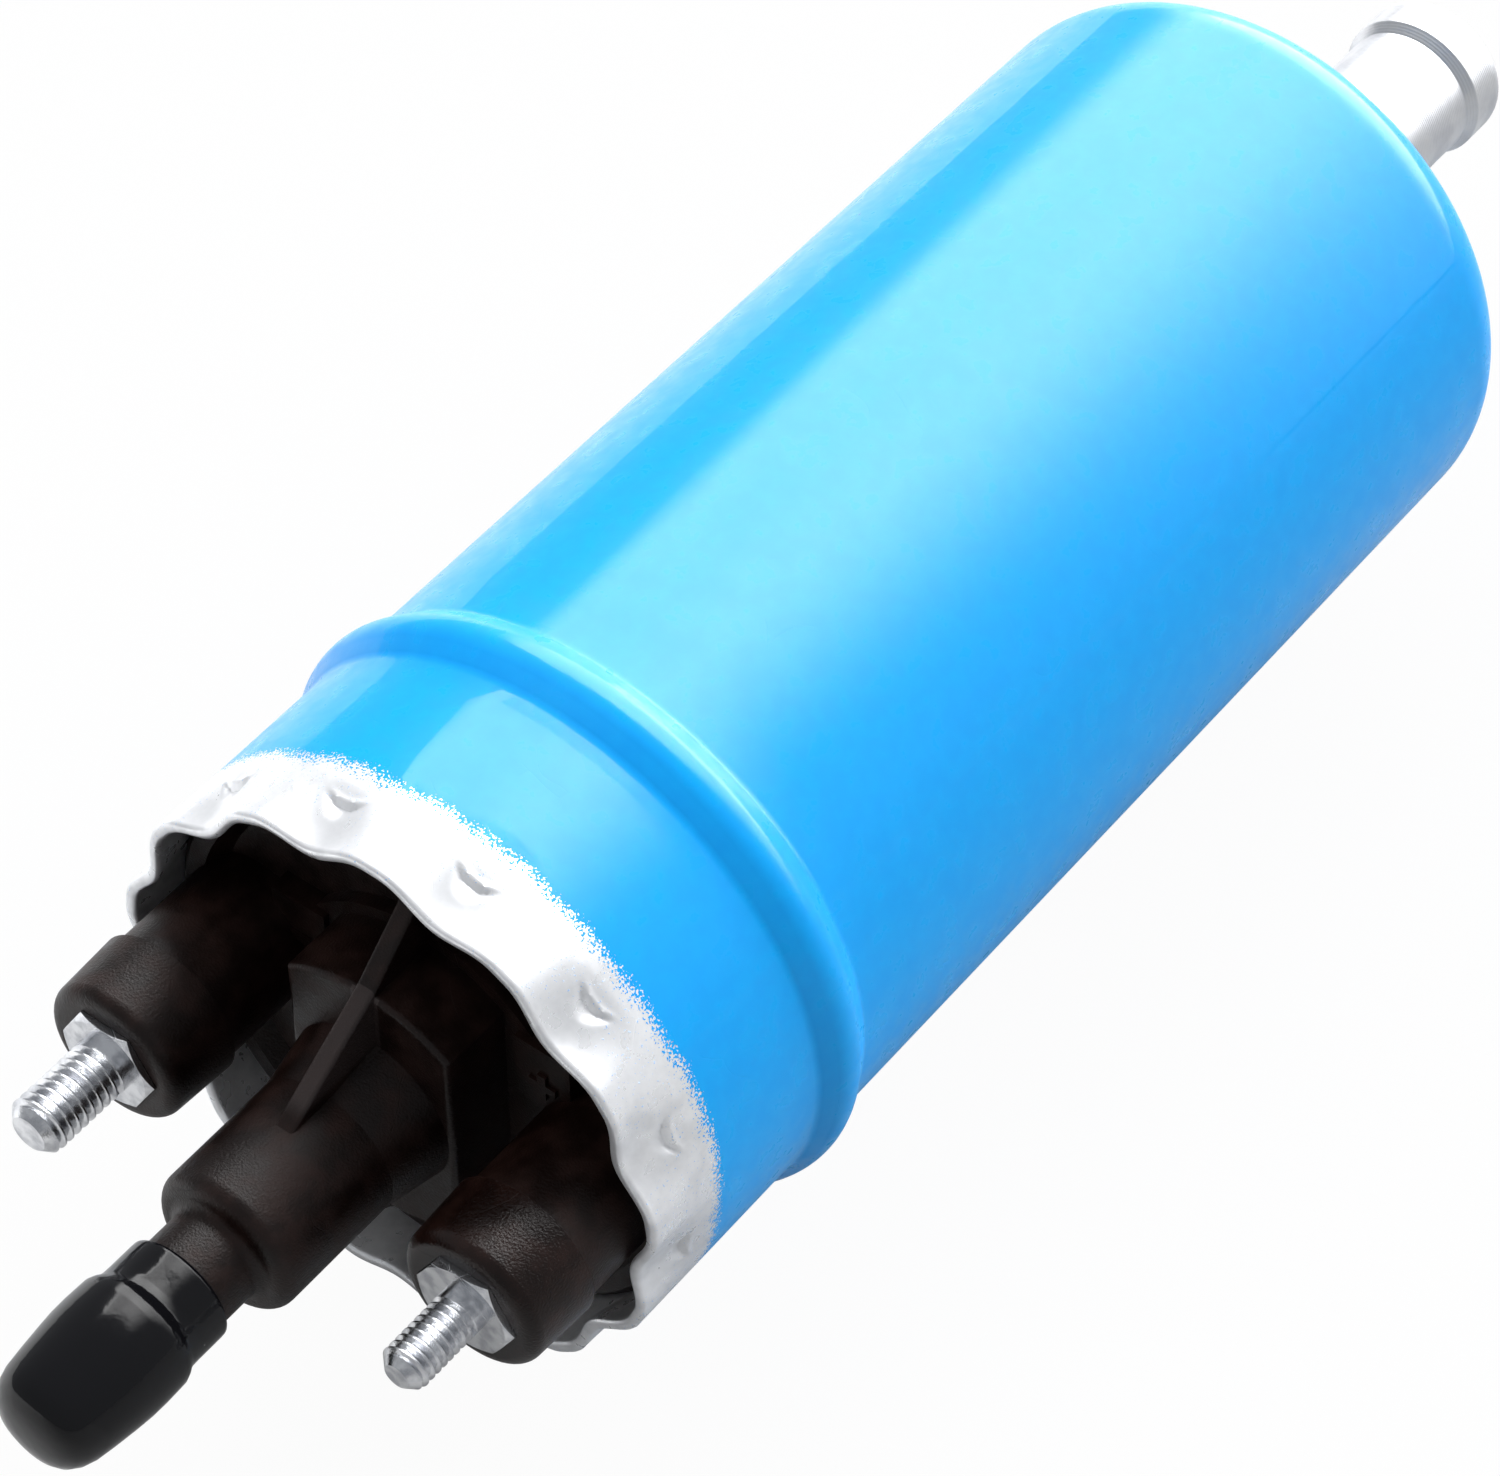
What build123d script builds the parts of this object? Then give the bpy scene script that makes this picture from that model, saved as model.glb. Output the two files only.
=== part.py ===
from build123d import *
import math
import os

os.makedirs("parts", exist_ok=True)

# An inline electric fuel pump. A crimped steel can holds a two-pole brush motor and a ring-and-rotor
# pump stage between a moulded outlet cap with two terminal studs and an aluminium inlet cover.
# +X runs along the pump from the outlet to the inlet, the terminals lie along Y and +Z is up.
# Stations along the pump are distances from the can's rim, growing towards the inlet.
# The origin is on the axis, in the middle of the plain stretch of can that a clamp band holds.

# Clearances shared by the pieces
run_gap = 0.05
press_gap = 0.02
loose_gap = 0.2
face_gap = 0.3
overrun = 1.0

# The can
can_r = 26.0
can_wall = 1.0
can_length = 119.0
shoulder_r = 6.4
bead_start = 19.6
bead_width = 5.8
bead_height = 1.3
crimp_count = 13
crimp_length = 5.0
crimp_depth = 1.5
crimp_turn = 104.6
crimp_width_share = 0.62

# The outlet cap and its terminals
cap_rim_front = 4.8
cap_floor = 6.5
cap_back = 13.0
terminal_inset = 8.7
minus_rise = 1.7
plus_rise = -0.4
minus_stud_r = 2.5
plus_stud_r = 2.0
port_r = 4.05
port_bore_r = 2.75
barb_r = 4.55
barb_station = -29.4
port_end = -37.4
chamber_r = 4.6
chamber_front = -15.5
valve_seat_front = -2.0

# The motor
holder_length = 17.0
shaft_r = 3.0
bush_r = 5.5
bush_length = 7.5
flux_wall = 1.9
magnet_share = 0.185
magnet_margin = 4.0
magnet_half_angle = 70.0
air_gap = 0.6
core_margin = 4.0
end_turn_length = 5.0
commutator_r = 8.5
commutator_length = 7.5
slot_count = 12
brush_axial = 5.0
brush_across = 6.0
brush_spring_room = 4.35
strap_wall = 0.8
rivet_length = 1.0

# The pump stage
plate_length = 6.0
rotor_length = 8.0
cover_length = 18.0
tooth_count = 6
outer_rotor_inset = 7.4
offset_share = 0.115
lobe_share = 0.23
lobe_wall = 0.3
lobe_gap = 0.06
journal_r = 2.2
screw_r = 1.5
screw_head_r = 2.7
screw_inset = 3.2
screw_count = 4
relief_inset = 6.4
relief_passage_r = 1.6
relief_chamber_r = 3.2

# The inlet
inlet_r = 6.25
inlet_bead_r = 6.9
inlet_bore_r = 4.4
spigot_length = 28.4

# Worked out from the sizes above
bead_end = bead_start + bead_width
shoulder_start = can_length - shoulder_r
rim_x = -(bead_end + shoulder_start) / 2
can_inner_r = can_r - can_wall
stack_r = can_inner_r - loose_gap
terminal_y = can_r - terminal_inset
terminal_z = {1: minus_rise, -1: plus_rise}
end_inside = can_length - can_wall
cover_front = end_inside - cover_length
inlet_plate_front = cover_front - plate_length
rotor_front = inlet_plate_front - rotor_length
outlet_plate_front = rotor_front - plate_length
holder_back = cap_back + holder_length
flux_inner_r = stack_r - flux_wall
magnet_r = flux_inner_r - run_gap
magnet_thickness = can_r * magnet_share
magnet_inner_r = magnet_r - magnet_thickness
core_r = magnet_inner_r - air_gap
magnet_front = holder_back + magnet_margin
magnet_back = outlet_plate_front - magnet_margin
core_front = magnet_front + core_margin
core_back = magnet_back - core_margin
outer_rotor_r = stack_r - outer_rotor_inset
lobe_place_r = (outer_rotor_r - lobe_wall) / (1 + lobe_share)
lobe_r = lobe_place_r * lobe_share
rotor_offset = lobe_place_r * offset_share
screw_circle_r = stack_r - screw_inset
relief_place_r = stack_r - relief_inset
inlet_end = can_length + spigot_length

# Outlines are drawn in this plane as distance from the rim and distance from the axis.
section = Plane(origin=(rim_x, 0, 0))


def across(station):
    """The plane square to the pump at a station, seen from the outlet with Y and Z in the sketch."""
    return Plane.YZ.offset(rim_x + station)


def polar(radius, degrees):
    """A point of a sketch in the Y-Z plane, turned from +Y towards +Z."""
    turn = math.radians(degrees)
    return (radius * math.cos(turn), radius * math.sin(turn))


def keep(piece, name):
    """Label a finished piece and write its file."""
    piece.part.label = name
    export_step(piece.part, f"parts/{name}.step")


def turned(plane, outline):
    """A piece turned from a closed outline of station and radius points about the plane's X axis."""
    with BuildPart() as piece:
        with BuildSketch(plane):
            with BuildLine():
                Polyline(*outline, close=True)
            make_face()
        revolve(axis=Axis(plane.origin, plane.x_dir))
    return piece


def sleeve(outer_r, inner_r, front, back):
    """A plain ring on the pump axis between two stations."""
    with BuildPart() as piece:
        with BuildSketch(across(front)):
            Circle(outer_r)
            Circle(inner_r, mode=Mode.SUBTRACT)
        extrude(amount=back - front)
    return piece


def seal_ring(plane, outer_r, inner_r, front):
    """A rubber ring squeezed between two walls: a rounded section as tall as the gap."""
    height = outer_r - inner_r
    with BuildPart() as piece:
        with BuildSketch(plane):
            with Locations((front + height / 2, inner_r + height / 2)):
                Circle(height / 2)
        revolve(axis=Axis(plane.origin, plane.x_dir))
    return piece


def coil(start, direction, length, turns, coil_r, wire_r):
    """A compression spring wound from round wire, from a start point along a direction."""
    axis = Vector(*direction)
    first = Vector(*start) + axis * wire_r
    wound = length - 2 * wire_r
    with BuildPart() as piece:
        with BuildLine() as path:
            Helix(pitch=wound / turns, height=wound, radius=coil_r, center=first, direction=axis)
        with BuildSketch(Plane(origin=path.line @ 0, z_dir=path.line % 0)):
            Circle(wire_r)
        sweep(is_frenet=True)
    return piece


# The can: drawn steel, with a rolled bead near its mouth and a rounded shoulder at the inlet end.
# Its mouth is crimped inwards over the end cap by punches spaced round the rim.
can_hole_r = inlet_r + loose_gap
stab_front = 1.9
stab_back = 4.6
stab_depth = 0.5
stab_width = 4.8


def rim_outline(station, radius, depth):
    """The can's outline at a station: arcs on the radius, dipping by the depth at each crimp."""
    pitch = 360 / crimp_count
    half_dip = pitch * crimp_width_share / 2
    with BuildSketch(across(station)) as outline:
        with BuildLine():
            for i in range(crimp_count):
                middle = crimp_turn + i * pitch
                dip_start = polar(radius, middle - half_dip)
                dip_end = polar(radius, middle + half_dip)
                next_dip = polar(radius, middle + pitch - half_dip)
                ThreePointArc(dip_start, polar(radius - depth, middle), dip_end)
                ThreePointArc(dip_end, polar(radius, middle + pitch / 2), next_dip)
        make_face()
    return outline


with BuildPart() as stab:
    valley_r = can_r - crimp_depth * (1 - stab_front / crimp_length)
    with BuildSketch(section):
        with BuildLine():
            Polyline(
                (stab_back, can_r + overrun),
                (stab_back, can_r - stab_depth),
                (stab_front, valley_r),
                (stab_front, can_r + overrun),
                close=True,
            )
        make_face()
    extrude(amount=stab_width / 2, both=True)

with BuildPart() as housing_shell:
    with BuildSketch(section) as wall:
        with BuildLine():
            outer_start = (crimp_length, can_r)
            inner_start = (crimp_length, can_inner_r)
            Line(outer_start, (bead_start, can_r))
            ThreePointArc((bead_start, can_r), (bead_start + bead_width / 2, can_r + bead_height),
                          (bead_end, can_r))
            Line((bead_end, can_r), (shoulder_start, can_r))
            RadiusArc((shoulder_start, can_r), (can_length, can_r - shoulder_r), shoulder_r)
            Line((can_length, can_r - shoulder_r), (can_length, can_hole_r))
            Line((can_length, can_hole_r), (end_inside, can_hole_r))
            Line((end_inside, can_hole_r), (end_inside, can_r - shoulder_r))
            RadiusArc((end_inside, can_r - shoulder_r), (shoulder_start, can_inner_r),
                      can_wall - shoulder_r)
            Line((shoulder_start, can_inner_r), (bead_end, can_inner_r))
            ThreePointArc((bead_end, can_inner_r),
                          (bead_start + bead_width / 2, can_inner_r + bead_height),
                          (bead_start, can_inner_r))
            Line((bead_start, can_inner_r), inner_start)
            Line(inner_start, outer_start)
        make_face()
        bead_corners = wall.vertices().group_by(Axis.X)
        fillet(bead_corners[1] + bead_corners[2], bead_height)
    revolve(axis=Axis(section.origin, section.x_dir))
    loft([rim_outline(0, can_r, crimp_depth).sketch.face(),
          rim_outline(crimp_length, can_r, 0).sketch.face()], ruled=True)
    loft([rim_outline(0, can_inner_r, crimp_depth).sketch.face(),
          rim_outline(crimp_length, can_inner_r, 0).sketch.face()],
         ruled=True, mode=Mode.SUBTRACT)
    for i in range(crimp_count):
        add(stab.part, rotation=(crimp_turn + i * 360 / crimp_count, 0, 0), mode=Mode.SUBTRACT)
keep(housing_shell, "housing_shell")

# The end cap: one dark plastic moulding. Its flange sits in the can's mouth, its tower holds the
# check valve and ends in the barbed outlet port, and two bosses carry the terminal studs.
flange_chamfer = 0.8
rim_wall = 2.4
rim_slope = 1.0
seal_height = 1.8
cap_seal_station = 9.4
tip_chamfer = 0.6
barb_ramp = 2.6
barb_land = 0.6
tower_front = -18.7
tower_r = 6.4
tower_edge = 1.4
neck_fillet = 0.9
tower_step = -6.6
tower_base_r = 7.4
centre_front = -1.3
centre_r = 12.7
centre_half_width = 7.8
centre_edge = 0.5
disc_front = 5.2
disc_r = 13.8
boss_face = -11.2
boss_face_r = 6.3
boss_edge = 1.2
boss_step = -4.6
boss_r = 6.6
boss_foot_r = 6.1
fin_thickness = 1.7
fin_edge = 0.35
fin_tip = -10.9
fin_middle_r = 12.9
fin_outer = 4.0
fin_foot_inset = 1.1
fin_lean = 2.4
pad_front = 4.6
pad_inner_y = 9.2
pad_outer_y = 14.4
pad_low_z = 2.4
pad_high_z = 9.0
mark_y = 11.9
mark_z = 5.1
mark_length = 2.6
mark_width = 0.8
mark_height = 0.3
valve_seat_r = 5.2
plenum_front = 9.0
plenum_wall = 1.0
stud_bore_gap = 0.1
hex_across = 8.0
hex_sunk = 0.9
terminal_seal_height = 1.6
rim_inner_r = stack_r - rim_wall
floor_edge_r = rim_inner_r - rim_slope
fin_foot_r = floor_edge_r - fin_foot_inset
fin_outer_r = fin_foot_r - fin_lean
plenum_r = terminal_y - minus_stud_r - stud_bore_gap - terminal_seal_height - plenum_wall
cap_groove_r = can_inner_r - seal_height
seal_groove_width = seal_height + 2 * loose_gap
hex_r = hex_across / 2 / math.cos(math.radians(30))

with BuildPart() as fin:
    with BuildSketch(Plane.XZ.offset(-fin_thickness / 2)):
        with BuildLine():
            Polyline(
                (rim_x + fin_tip, tower_r),
                (rim_x + centre_front, fin_middle_r),
                (rim_x + fin_outer, fin_outer_r),
                (rim_x + cap_floor, fin_foot_r),
                (rim_x + plenum_front, fin_foot_r),
                (rim_x + plenum_front, -fin_foot_r),
                (rim_x + cap_floor, -fin_foot_r),
                (rim_x + fin_outer, -fin_outer_r),
                (rim_x + centre_front, -fin_middle_r),
                (rim_x + fin_tip, -tower_r),
                close=True,
            )
        make_face()
    extrude(amount=fin_thickness)
    fillet(fin.edges().filter_by(Axis.Y, reverse=True), fin_edge)

with BuildPart() as end_cap:
    with BuildSketch(section) as profile:
        with BuildLine():
            Polyline(
                (port_end, 0),
                (port_end, port_r - tip_chamfer),
                (port_end + tip_chamfer, port_r),
                (barb_station - barb_land / 2 - barb_ramp, port_r),
                (barb_station - barb_land / 2, barb_r),
                (barb_station + barb_land / 2, barb_r),
                (barb_station + barb_land / 2, port_r),
                (tower_front, port_r),
                (tower_front, tower_r),
                (tower_step, tower_r),
                (centre_front, tower_base_r),
                (disc_front, tower_base_r),
                (disc_front, disc_r),
                (cap_floor, disc_r),
                (cap_floor, floor_edge_r),
                (cap_rim_front, rim_inner_r),
                (cap_rim_front, stack_r - flange_chamfer),
                (cap_rim_front + flange_chamfer, stack_r),
                (cap_seal_station - loose_gap, stack_r),
                (cap_seal_station - loose_gap, cap_groove_r),
                (cap_seal_station - loose_gap + seal_groove_width, cap_groove_r),
                (cap_seal_station - loose_gap + seal_groove_width, stack_r),
                (cap_back, stack_r),
                (cap_back, 0),
                close=True,
            )
        make_face()
        fillet(profile.vertices().group_by(Axis.X)[5].sort_by(Axis.Y)[-1], tower_edge)
        fillet(profile.vertices().group_by(Axis.X)[5].sort_by(Axis.Y)[0], neck_fillet)
    revolve(axis=Axis(section.origin, section.x_dir))

    with BuildSketch(across(centre_front)):
        Circle(centre_r)
        Rectangle(2 * centre_half_width, 2 * centre_r, mode=Mode.INTERSECT)
    extrude(amount=cap_floor - centre_front)

    front_edges = end_cap.edges().filter_by_position(Axis.X, rim_x + centre_front - run_gap,
                                                     rim_x + centre_front + run_gap)
    centre_arcs = front_edges.filter_by(GeomType.CIRCLE).sort_by(SortBy.RADIUS)[-2:]
    fillet(front_edges.filter_by(GeomType.LINE) + centre_arcs, centre_edge)
    add(fin.part)

    for side in (1, -1):
        boss_plane = Plane(origin=(rim_x, side * terminal_y, terminal_z[side]))
        with BuildSketch(boss_plane) as boss:
            with BuildLine():
                Polyline(
                    (boss_face, 0),
                    (boss_face, boss_face_r),
                    (boss_step, boss_r),
                    (boss_step, boss_foot_r),
                    (plenum_front, boss_foot_r),
                    (plenum_front, 0),
                    close=True,
                )
            make_face()
            fillet(boss.vertices().group_by(Axis.X)[0].sort_by(Axis.Y)[-1], boss_edge)
        revolve(axis=Axis(boss_plane.origin, boss_plane.x_dir))

    pad_y = (pad_inner_y + pad_outer_y) / 2
    pad_z = (pad_low_z + pad_high_z) / 2
    with BuildSketch(across(pad_front)):
        with Locations((pad_y, pad_z), (-pad_y, pad_z)):
            Rectangle(pad_outer_y - pad_inner_y, pad_high_z - pad_low_z)
    extrude(amount=cap_floor - pad_front)
    with BuildSketch(across(pad_front - mark_height)):
        with Locations((mark_y, mark_z), (-mark_y, mark_z)):
            Rectangle(mark_length, mark_width)
        with Locations((-mark_y, mark_z)):
            Rectangle(mark_width, mark_length)
    extrude(amount=2 * mark_height)

    with BuildSketch(section):
        with BuildLine():
            Polyline(
                (port_end - overrun, 0),
                (port_end - overrun, port_bore_r),
                (chamber_front, port_bore_r),
                (chamber_front, chamber_r),
                (valve_seat_front, chamber_r),
                (valve_seat_front, valve_seat_r),
                (plenum_front, valve_seat_r),
                (plenum_front, plenum_r),
                (cap_back + overrun, plenum_r),
                (cap_back + overrun, 0),
                close=True,
            )
        make_face()
    revolve(axis=Axis(section.origin, section.x_dir), mode=Mode.SUBTRACT)

    for side, stud_r in ((1, minus_stud_r), (-1, plus_stud_r)):
        with BuildSketch(across(boss_face)):
            with Locations((side * terminal_y, terminal_z[side])):
                Circle(stud_r + stud_bore_gap)
        extrude(amount=cap_back - boss_face, mode=Mode.SUBTRACT)
        with BuildSketch(across(cap_back - terminal_seal_height - loose_gap)):
            with Locations((side * terminal_y, terminal_z[side])):
                Circle(stud_r + stud_bore_gap + terminal_seal_height)
        extrude(amount=terminal_seal_height + loose_gap, mode=Mode.SUBTRACT)
        with BuildSketch(across(boss_face)):
            with Locations((side * terminal_y, terminal_z[side])):
                RegularPolygon(hex_r + run_gap, side_count=6)
        extrude(amount=hex_sunk, mode=Mode.SUBTRACT)
keep(end_cap, "end_cap")

cap_o_ring = seal_ring(section, can_inner_r - press_gap, cap_groove_r + press_gap, cap_seal_station)
keep(cap_o_ring, "cap_o_ring")


# The terminals: plated steel studs with a hexagon collar let into the boss. Each is riveted behind
# the cap over a brass strap, and an O-ring round its shank keeps the fuel in.
collar_height = 1.5
collar_round = 0.4
stud_point = 0.9
thread_runout = 0.9
minus_stud_tip = -20.2
plus_stud_tip = -19.2
minus_pitch = 0.8
plus_pitch = 0.7
thread_depth_share = 0.61
thread_flat_share = 0.125
rivet_r = 1.6
rivet_head_r = 2.6
strap_front = cap_back + face_gap
rivet_head_front = strap_front + strap_wall + run_gap


def terminal_stud(side, stud_r, tip, pitch):
    """A stud from its riveted head behind the cap to its pointed, threaded end."""
    plane = Plane(origin=(rim_x, side * terminal_y, terminal_z[side]))
    axis = Axis(plane.origin, plane.x_dir)
    collar_back = boss_face + hex_sunk
    collar_front = collar_back - collar_height
    thread_depth = pitch * thread_depth_share
    thread_half = pitch * (1 - thread_flat_share) / 2
    with BuildPart() as collar:
        with BuildSketch(across(collar_front)):
            with Locations((side * terminal_y, terminal_z[side])):
                RegularPolygon(hex_r, side_count=6)
        extrude(amount=collar_height)
        with BuildSketch(plane):
            with BuildLine():
                Polyline(
                    (collar_front, 0),
                    (collar_front, hex_across / 2),
                    (collar_front + collar_round, hex_r),
                    (collar_back, hex_r),
                    (collar_back, 0),
                    close=True,
                )
            make_face()
        revolve(axis=axis, mode=Mode.INTERSECT)
    with BuildPart() as piece:
        with BuildSketch(plane):
            with BuildLine():
                Polyline(
                    (tip, 0),
                    (tip, stud_r - stud_point),
                    (tip + stud_point, stud_r),
                    (cap_back, stud_r),
                    (cap_back, rivet_r),
                    (rivet_head_front, rivet_r),
                    (rivet_head_front, rivet_head_r),
                    (rivet_head_front + rivet_length, rivet_head_r),
                    (rivet_head_front + rivet_length, 0),
                    close=True,
                )
            make_face()
        revolve(axis=axis)
        with BuildLine() as path:
            Helix(pitch=pitch, height=collar_front - thread_runout - tip, radius=stud_r,
                  center=(rim_x + tip, side * terminal_y, terminal_z[side]), direction=(1, 0, 0))
        start = path.line @ 0
        outwards = start - Vector(rim_x + tip, side * terminal_y, terminal_z[side])
        with BuildSketch(Plane(origin=start, x_dir=outwards, z_dir=path.line % 0)):
            with BuildLine():
                Polyline((run_gap, -thread_half), (-thread_depth, 0), (run_gap, thread_half), close=True)
            make_face()
        sweep(is_frenet=True, mode=Mode.SUBTRACT)
        add(collar.part)
    return piece


terminal_stud_m5 = terminal_stud(1, minus_stud_r, minus_stud_tip, minus_pitch)
keep(terminal_stud_m5, "terminal_stud_m5")
terminal_stud_m4 = terminal_stud(-1, plus_stud_r, plus_stud_tip, plus_pitch)
keep(terminal_stud_m4, "terminal_stud_m4")

terminal_seal_front = cap_back - terminal_seal_height - press_gap
for side, stud_r, name in ((1, minus_stud_r, "terminal_seal_m5"), (-1, plus_stud_r, "terminal_seal_m4")):
    seal_plane = Plane(origin=(rim_x, side * terminal_y, terminal_z[side]))
    seal_inner_r = stud_r + press_gap
    seal_outer_r = seal_inner_r + terminal_seal_height
    terminal_seal = seal_ring(seal_plane, seal_outer_r, seal_inner_r, terminal_seal_front)
    keep(terminal_seal, name)


# The transit cap: a soft vinyl thimble pushed over the outlet port, bulging where it passes the barb.
vinyl_wall = 0.55
vinyl_rear = -23.0
vinyl_collar_r = 4.66
vinyl_collar_end = -26.0
vinyl_bulge_r = 5.25
vinyl_front = -38.2
vinyl_front_r = 4.6
vinyl_tip = -40.2
vinyl_tip_r = 2.8


def thimble(inset):
    """The thimble's half section, drawn inside its outer surface by the inset."""
    with BuildSketch(section) as half:
        with BuildLine():
            collar = (vinyl_collar_end, vinyl_collar_r - inset)
            bulge = (barb_station, vinyl_bulge_r - inset)
            shoulder = (vinyl_front, vinyl_front_r - inset)
            crown = (vinyl_tip + inset, vinyl_tip_r - inset)
            Line((vinyl_rear, 0), (vinyl_rear, vinyl_collar_r - inset))
            Line((vinyl_rear, vinyl_collar_r - inset), collar)
            Spline(collar, bulge, shoulder, tangents=[(-1, 0), (-1, -0.1)])
            TangentArc(shoulder, crown, tangent=(-1, -0.1))
            Line(crown, (vinyl_tip + inset, 0))
            Line((vinyl_tip + inset, 0), (vinyl_rear, 0))
        make_face()
    return half


vinyl_skin = thimble(0)
vinyl_hollow = thimble(vinyl_wall)
with BuildPart() as outlet_cap:
    revolve(vinyl_skin.sketch, axis=Axis(section.origin, section.x_dir))
    revolve(vinyl_hollow.sketch, axis=Axis(section.origin, section.x_dir), mode=Mode.SUBTRACT)
keep(outlet_cap, "outlet_cap")


# The check valve in the tower: a brass seat pressed in from behind, and a poppet that the spring
# holds against it until the pump delivers.
seat_length = 5.0
seat_hole_r = 2.2
seat_cone_r = 3.2
poppet_r = 3.8
poppet_head = 1.6
poppet_stem_r = 1.3
poppet_stem_length = 8.0
valve_wire_r = 0.35
valve_coil_r = 2.6
valve_turns = 6

seat_cone_depth = seat_cone_r - seat_hole_r
check_valve_seat = turned(section, [
    (valve_seat_front, seat_cone_r),
    (valve_seat_front, valve_seat_r - press_gap),
    (valve_seat_front + seat_length, valve_seat_r - press_gap),
    (valve_seat_front + seat_length, seat_hole_r),
    (valve_seat_front + seat_cone_depth, seat_hole_r),
])
keep(check_valve_seat, "check_valve_seat")

poppet_back = valve_seat_front - run_gap
poppet_front = poppet_back - poppet_head
check_valve_poppet = turned(section, [
    (poppet_front - poppet_stem_length, 0),
    (poppet_front - poppet_stem_length, poppet_stem_r),
    (poppet_front, poppet_stem_r),
    (poppet_front, poppet_r),
    (poppet_back, poppet_r),
    (poppet_back, seat_cone_r),
    (poppet_back + seat_cone_depth, seat_hole_r),
    (poppet_back + seat_cone_depth, 0),
])
keep(check_valve_poppet, "check_valve_poppet")

valve_spring_length = poppet_front - chamber_front - 2 * run_gap
check_valve_spring = coil((rim_x + chamber_front + run_gap, 0, 0), (1, 0, 0),
                          valve_spring_length, valve_turns, valve_coil_r, valve_wire_r)
keep(check_valve_spring, "check_valve_spring")


# The brush holder: a plastic ring behind the cap. Its web carries the front bush and two radial
# channels for the brushes, and slots let the contact straps through.
web_inset = 2.5
web_length = 3.0
hub_inset = 1.5
hub_r = 8.0
skirt_wall = 1.5
channel_wall = 1.0
fuel_hole_r = 2.0
fuel_hole_place_r = 13.0
washer_length = 0.4
tab_gap = 0.6
web_front = cap_back + web_inset
hub_front = cap_back + hub_inset
bush_back = hub_front + bush_length
commutator_front = bush_back + washer_length + 2 * run_gap
brush_middle = commutator_front + commutator_length / 2
brush_front = brush_middle - brush_axial / 2
channel_front = brush_front - run_gap
channel_back = brush_front + brush_axial + run_gap
skirt_inner_r = stack_r - skirt_wall
tab_outer_r = skirt_inner_r - tab_gap
tab_inner_r = tab_outer_r - strap_wall
channel_inner_r = commutator_r + 2 * face_gap
channel_outer_r = tab_inner_r - face_gap
channel_half = brush_across / 2 + run_gap
brush_inner_r = commutator_r + run_gap
brush_outer_r = tab_inner_r - brush_spring_room
tab_width = brush_across

with BuildPart() as brush_holder:
    with BuildSketch(section):
        with BuildLine():
            Polyline(
                (cap_back, skirt_inner_r),
                (cap_back, stack_r),
                (holder_back, stack_r),
                (holder_back, skirt_inner_r),
                (web_front + web_length, skirt_inner_r),
                (web_front + web_length, hub_r),
                (bush_back, hub_r),
                (bush_back, bush_r),
                (hub_front, bush_r),
                (hub_front, hub_r),
                (web_front, hub_r),
                (web_front, skirt_inner_r),
                close=True,
            )
        make_face()
    revolve(axis=Axis(section.origin, section.x_dir))
    with BuildSketch(across(web_front)):
        with PolarLocations(fuel_hole_place_r, 4, start_angle=45):
            Circle(fuel_hole_r)
    extrude(amount=web_length, mode=Mode.SUBTRACT)
    with BuildSketch(across(web_front)):
        for side in (1, -1):
            with Locations((0, side * (channel_inner_r + channel_outer_r) / 2)):
                Rectangle(2 * (channel_half + channel_wall), channel_outer_r - channel_inner_r)
    extrude(amount=channel_back + channel_wall - web_front)
    with BuildSketch(across(channel_front)):
        Rectangle(2 * channel_half, 2 * tab_inner_r)
    extrude(amount=channel_back - channel_front, mode=Mode.SUBTRACT)
    with BuildSketch(across(web_front)):
        for side in (1, -1):
            with Locations((0, side * (tab_inner_r + tab_outer_r) / 2)):
                Rectangle(tab_width + 2 * loose_gap, strap_wall + 2 * loose_gap)
    extrude(amount=web_length, mode=Mode.SUBTRACT)
keep(brush_holder, "brush_holder")

front_bush = sleeve(bush_r - press_gap, shaft_r + run_gap, hub_front, bush_back)
keep(front_bush, "front_bush")


# The contact straps: brass strips from each stud's rivet round to the tab behind its brush.
strap_half_width = 1.8
strap_eye_r = 3.2
shunt_r = 0.5
strap_inner_r = terminal_y - strap_half_width
strap_outer_r = terminal_y + strap_half_width
tab_back = channel_back + channel_wall


def contact_strap(rise):
    """A strap on the +Y side: its eye sits at the stud's height, and its tab behind the upper brush."""
    with BuildPart() as piece:
        with BuildSketch(across(strap_front)):
            with BuildLine():
                CenterArc((0, 0), strap_outer_r, 0, 90)
                Line(polar(strap_outer_r, 90), polar(strap_inner_r, 90))
                CenterArc((0, 0), strap_inner_r, 0, 90)
                Line(polar(strap_inner_r, 0), polar(strap_outer_r, 0))
            make_face()
            with Locations((terminal_y, rise)):
                Circle(strap_eye_r)
                Circle(rivet_r + run_gap, mode=Mode.SUBTRACT)
            with Locations((0, (strap_inner_r + tab_outer_r) / 2)):
                Rectangle(tab_width, tab_outer_r - strap_inner_r)
        extrude(amount=strap_wall)
        with BuildSketch(across(strap_front)):
            with Locations((0, (tab_inner_r + tab_outer_r) / 2)):
                Rectangle(tab_width, strap_wall)
        extrude(amount=tab_back - strap_front)
        with BuildSketch(Plane.XY.offset(tab_inner_r)):
            with Locations((rim_x + brush_middle, 0)):
                Circle(shunt_r + run_gap)
        extrude(amount=strap_wall, mode=Mode.SUBTRACT)
    return piece


contact_strap_minus = contact_strap(minus_rise)
keep(contact_strap_minus, "contact_strap_minus")


def half_turn(original):
    """The same piece again on the other side of the pump, turned half way round its axis."""
    with BuildPart() as piece:
        add(original.part, rotation=(180, 0, 0))
    return piece


contact_strap_plus = half_turn(contact_strap(-plus_rise))
keep(contact_strap_plus, "contact_strap_plus")


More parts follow.
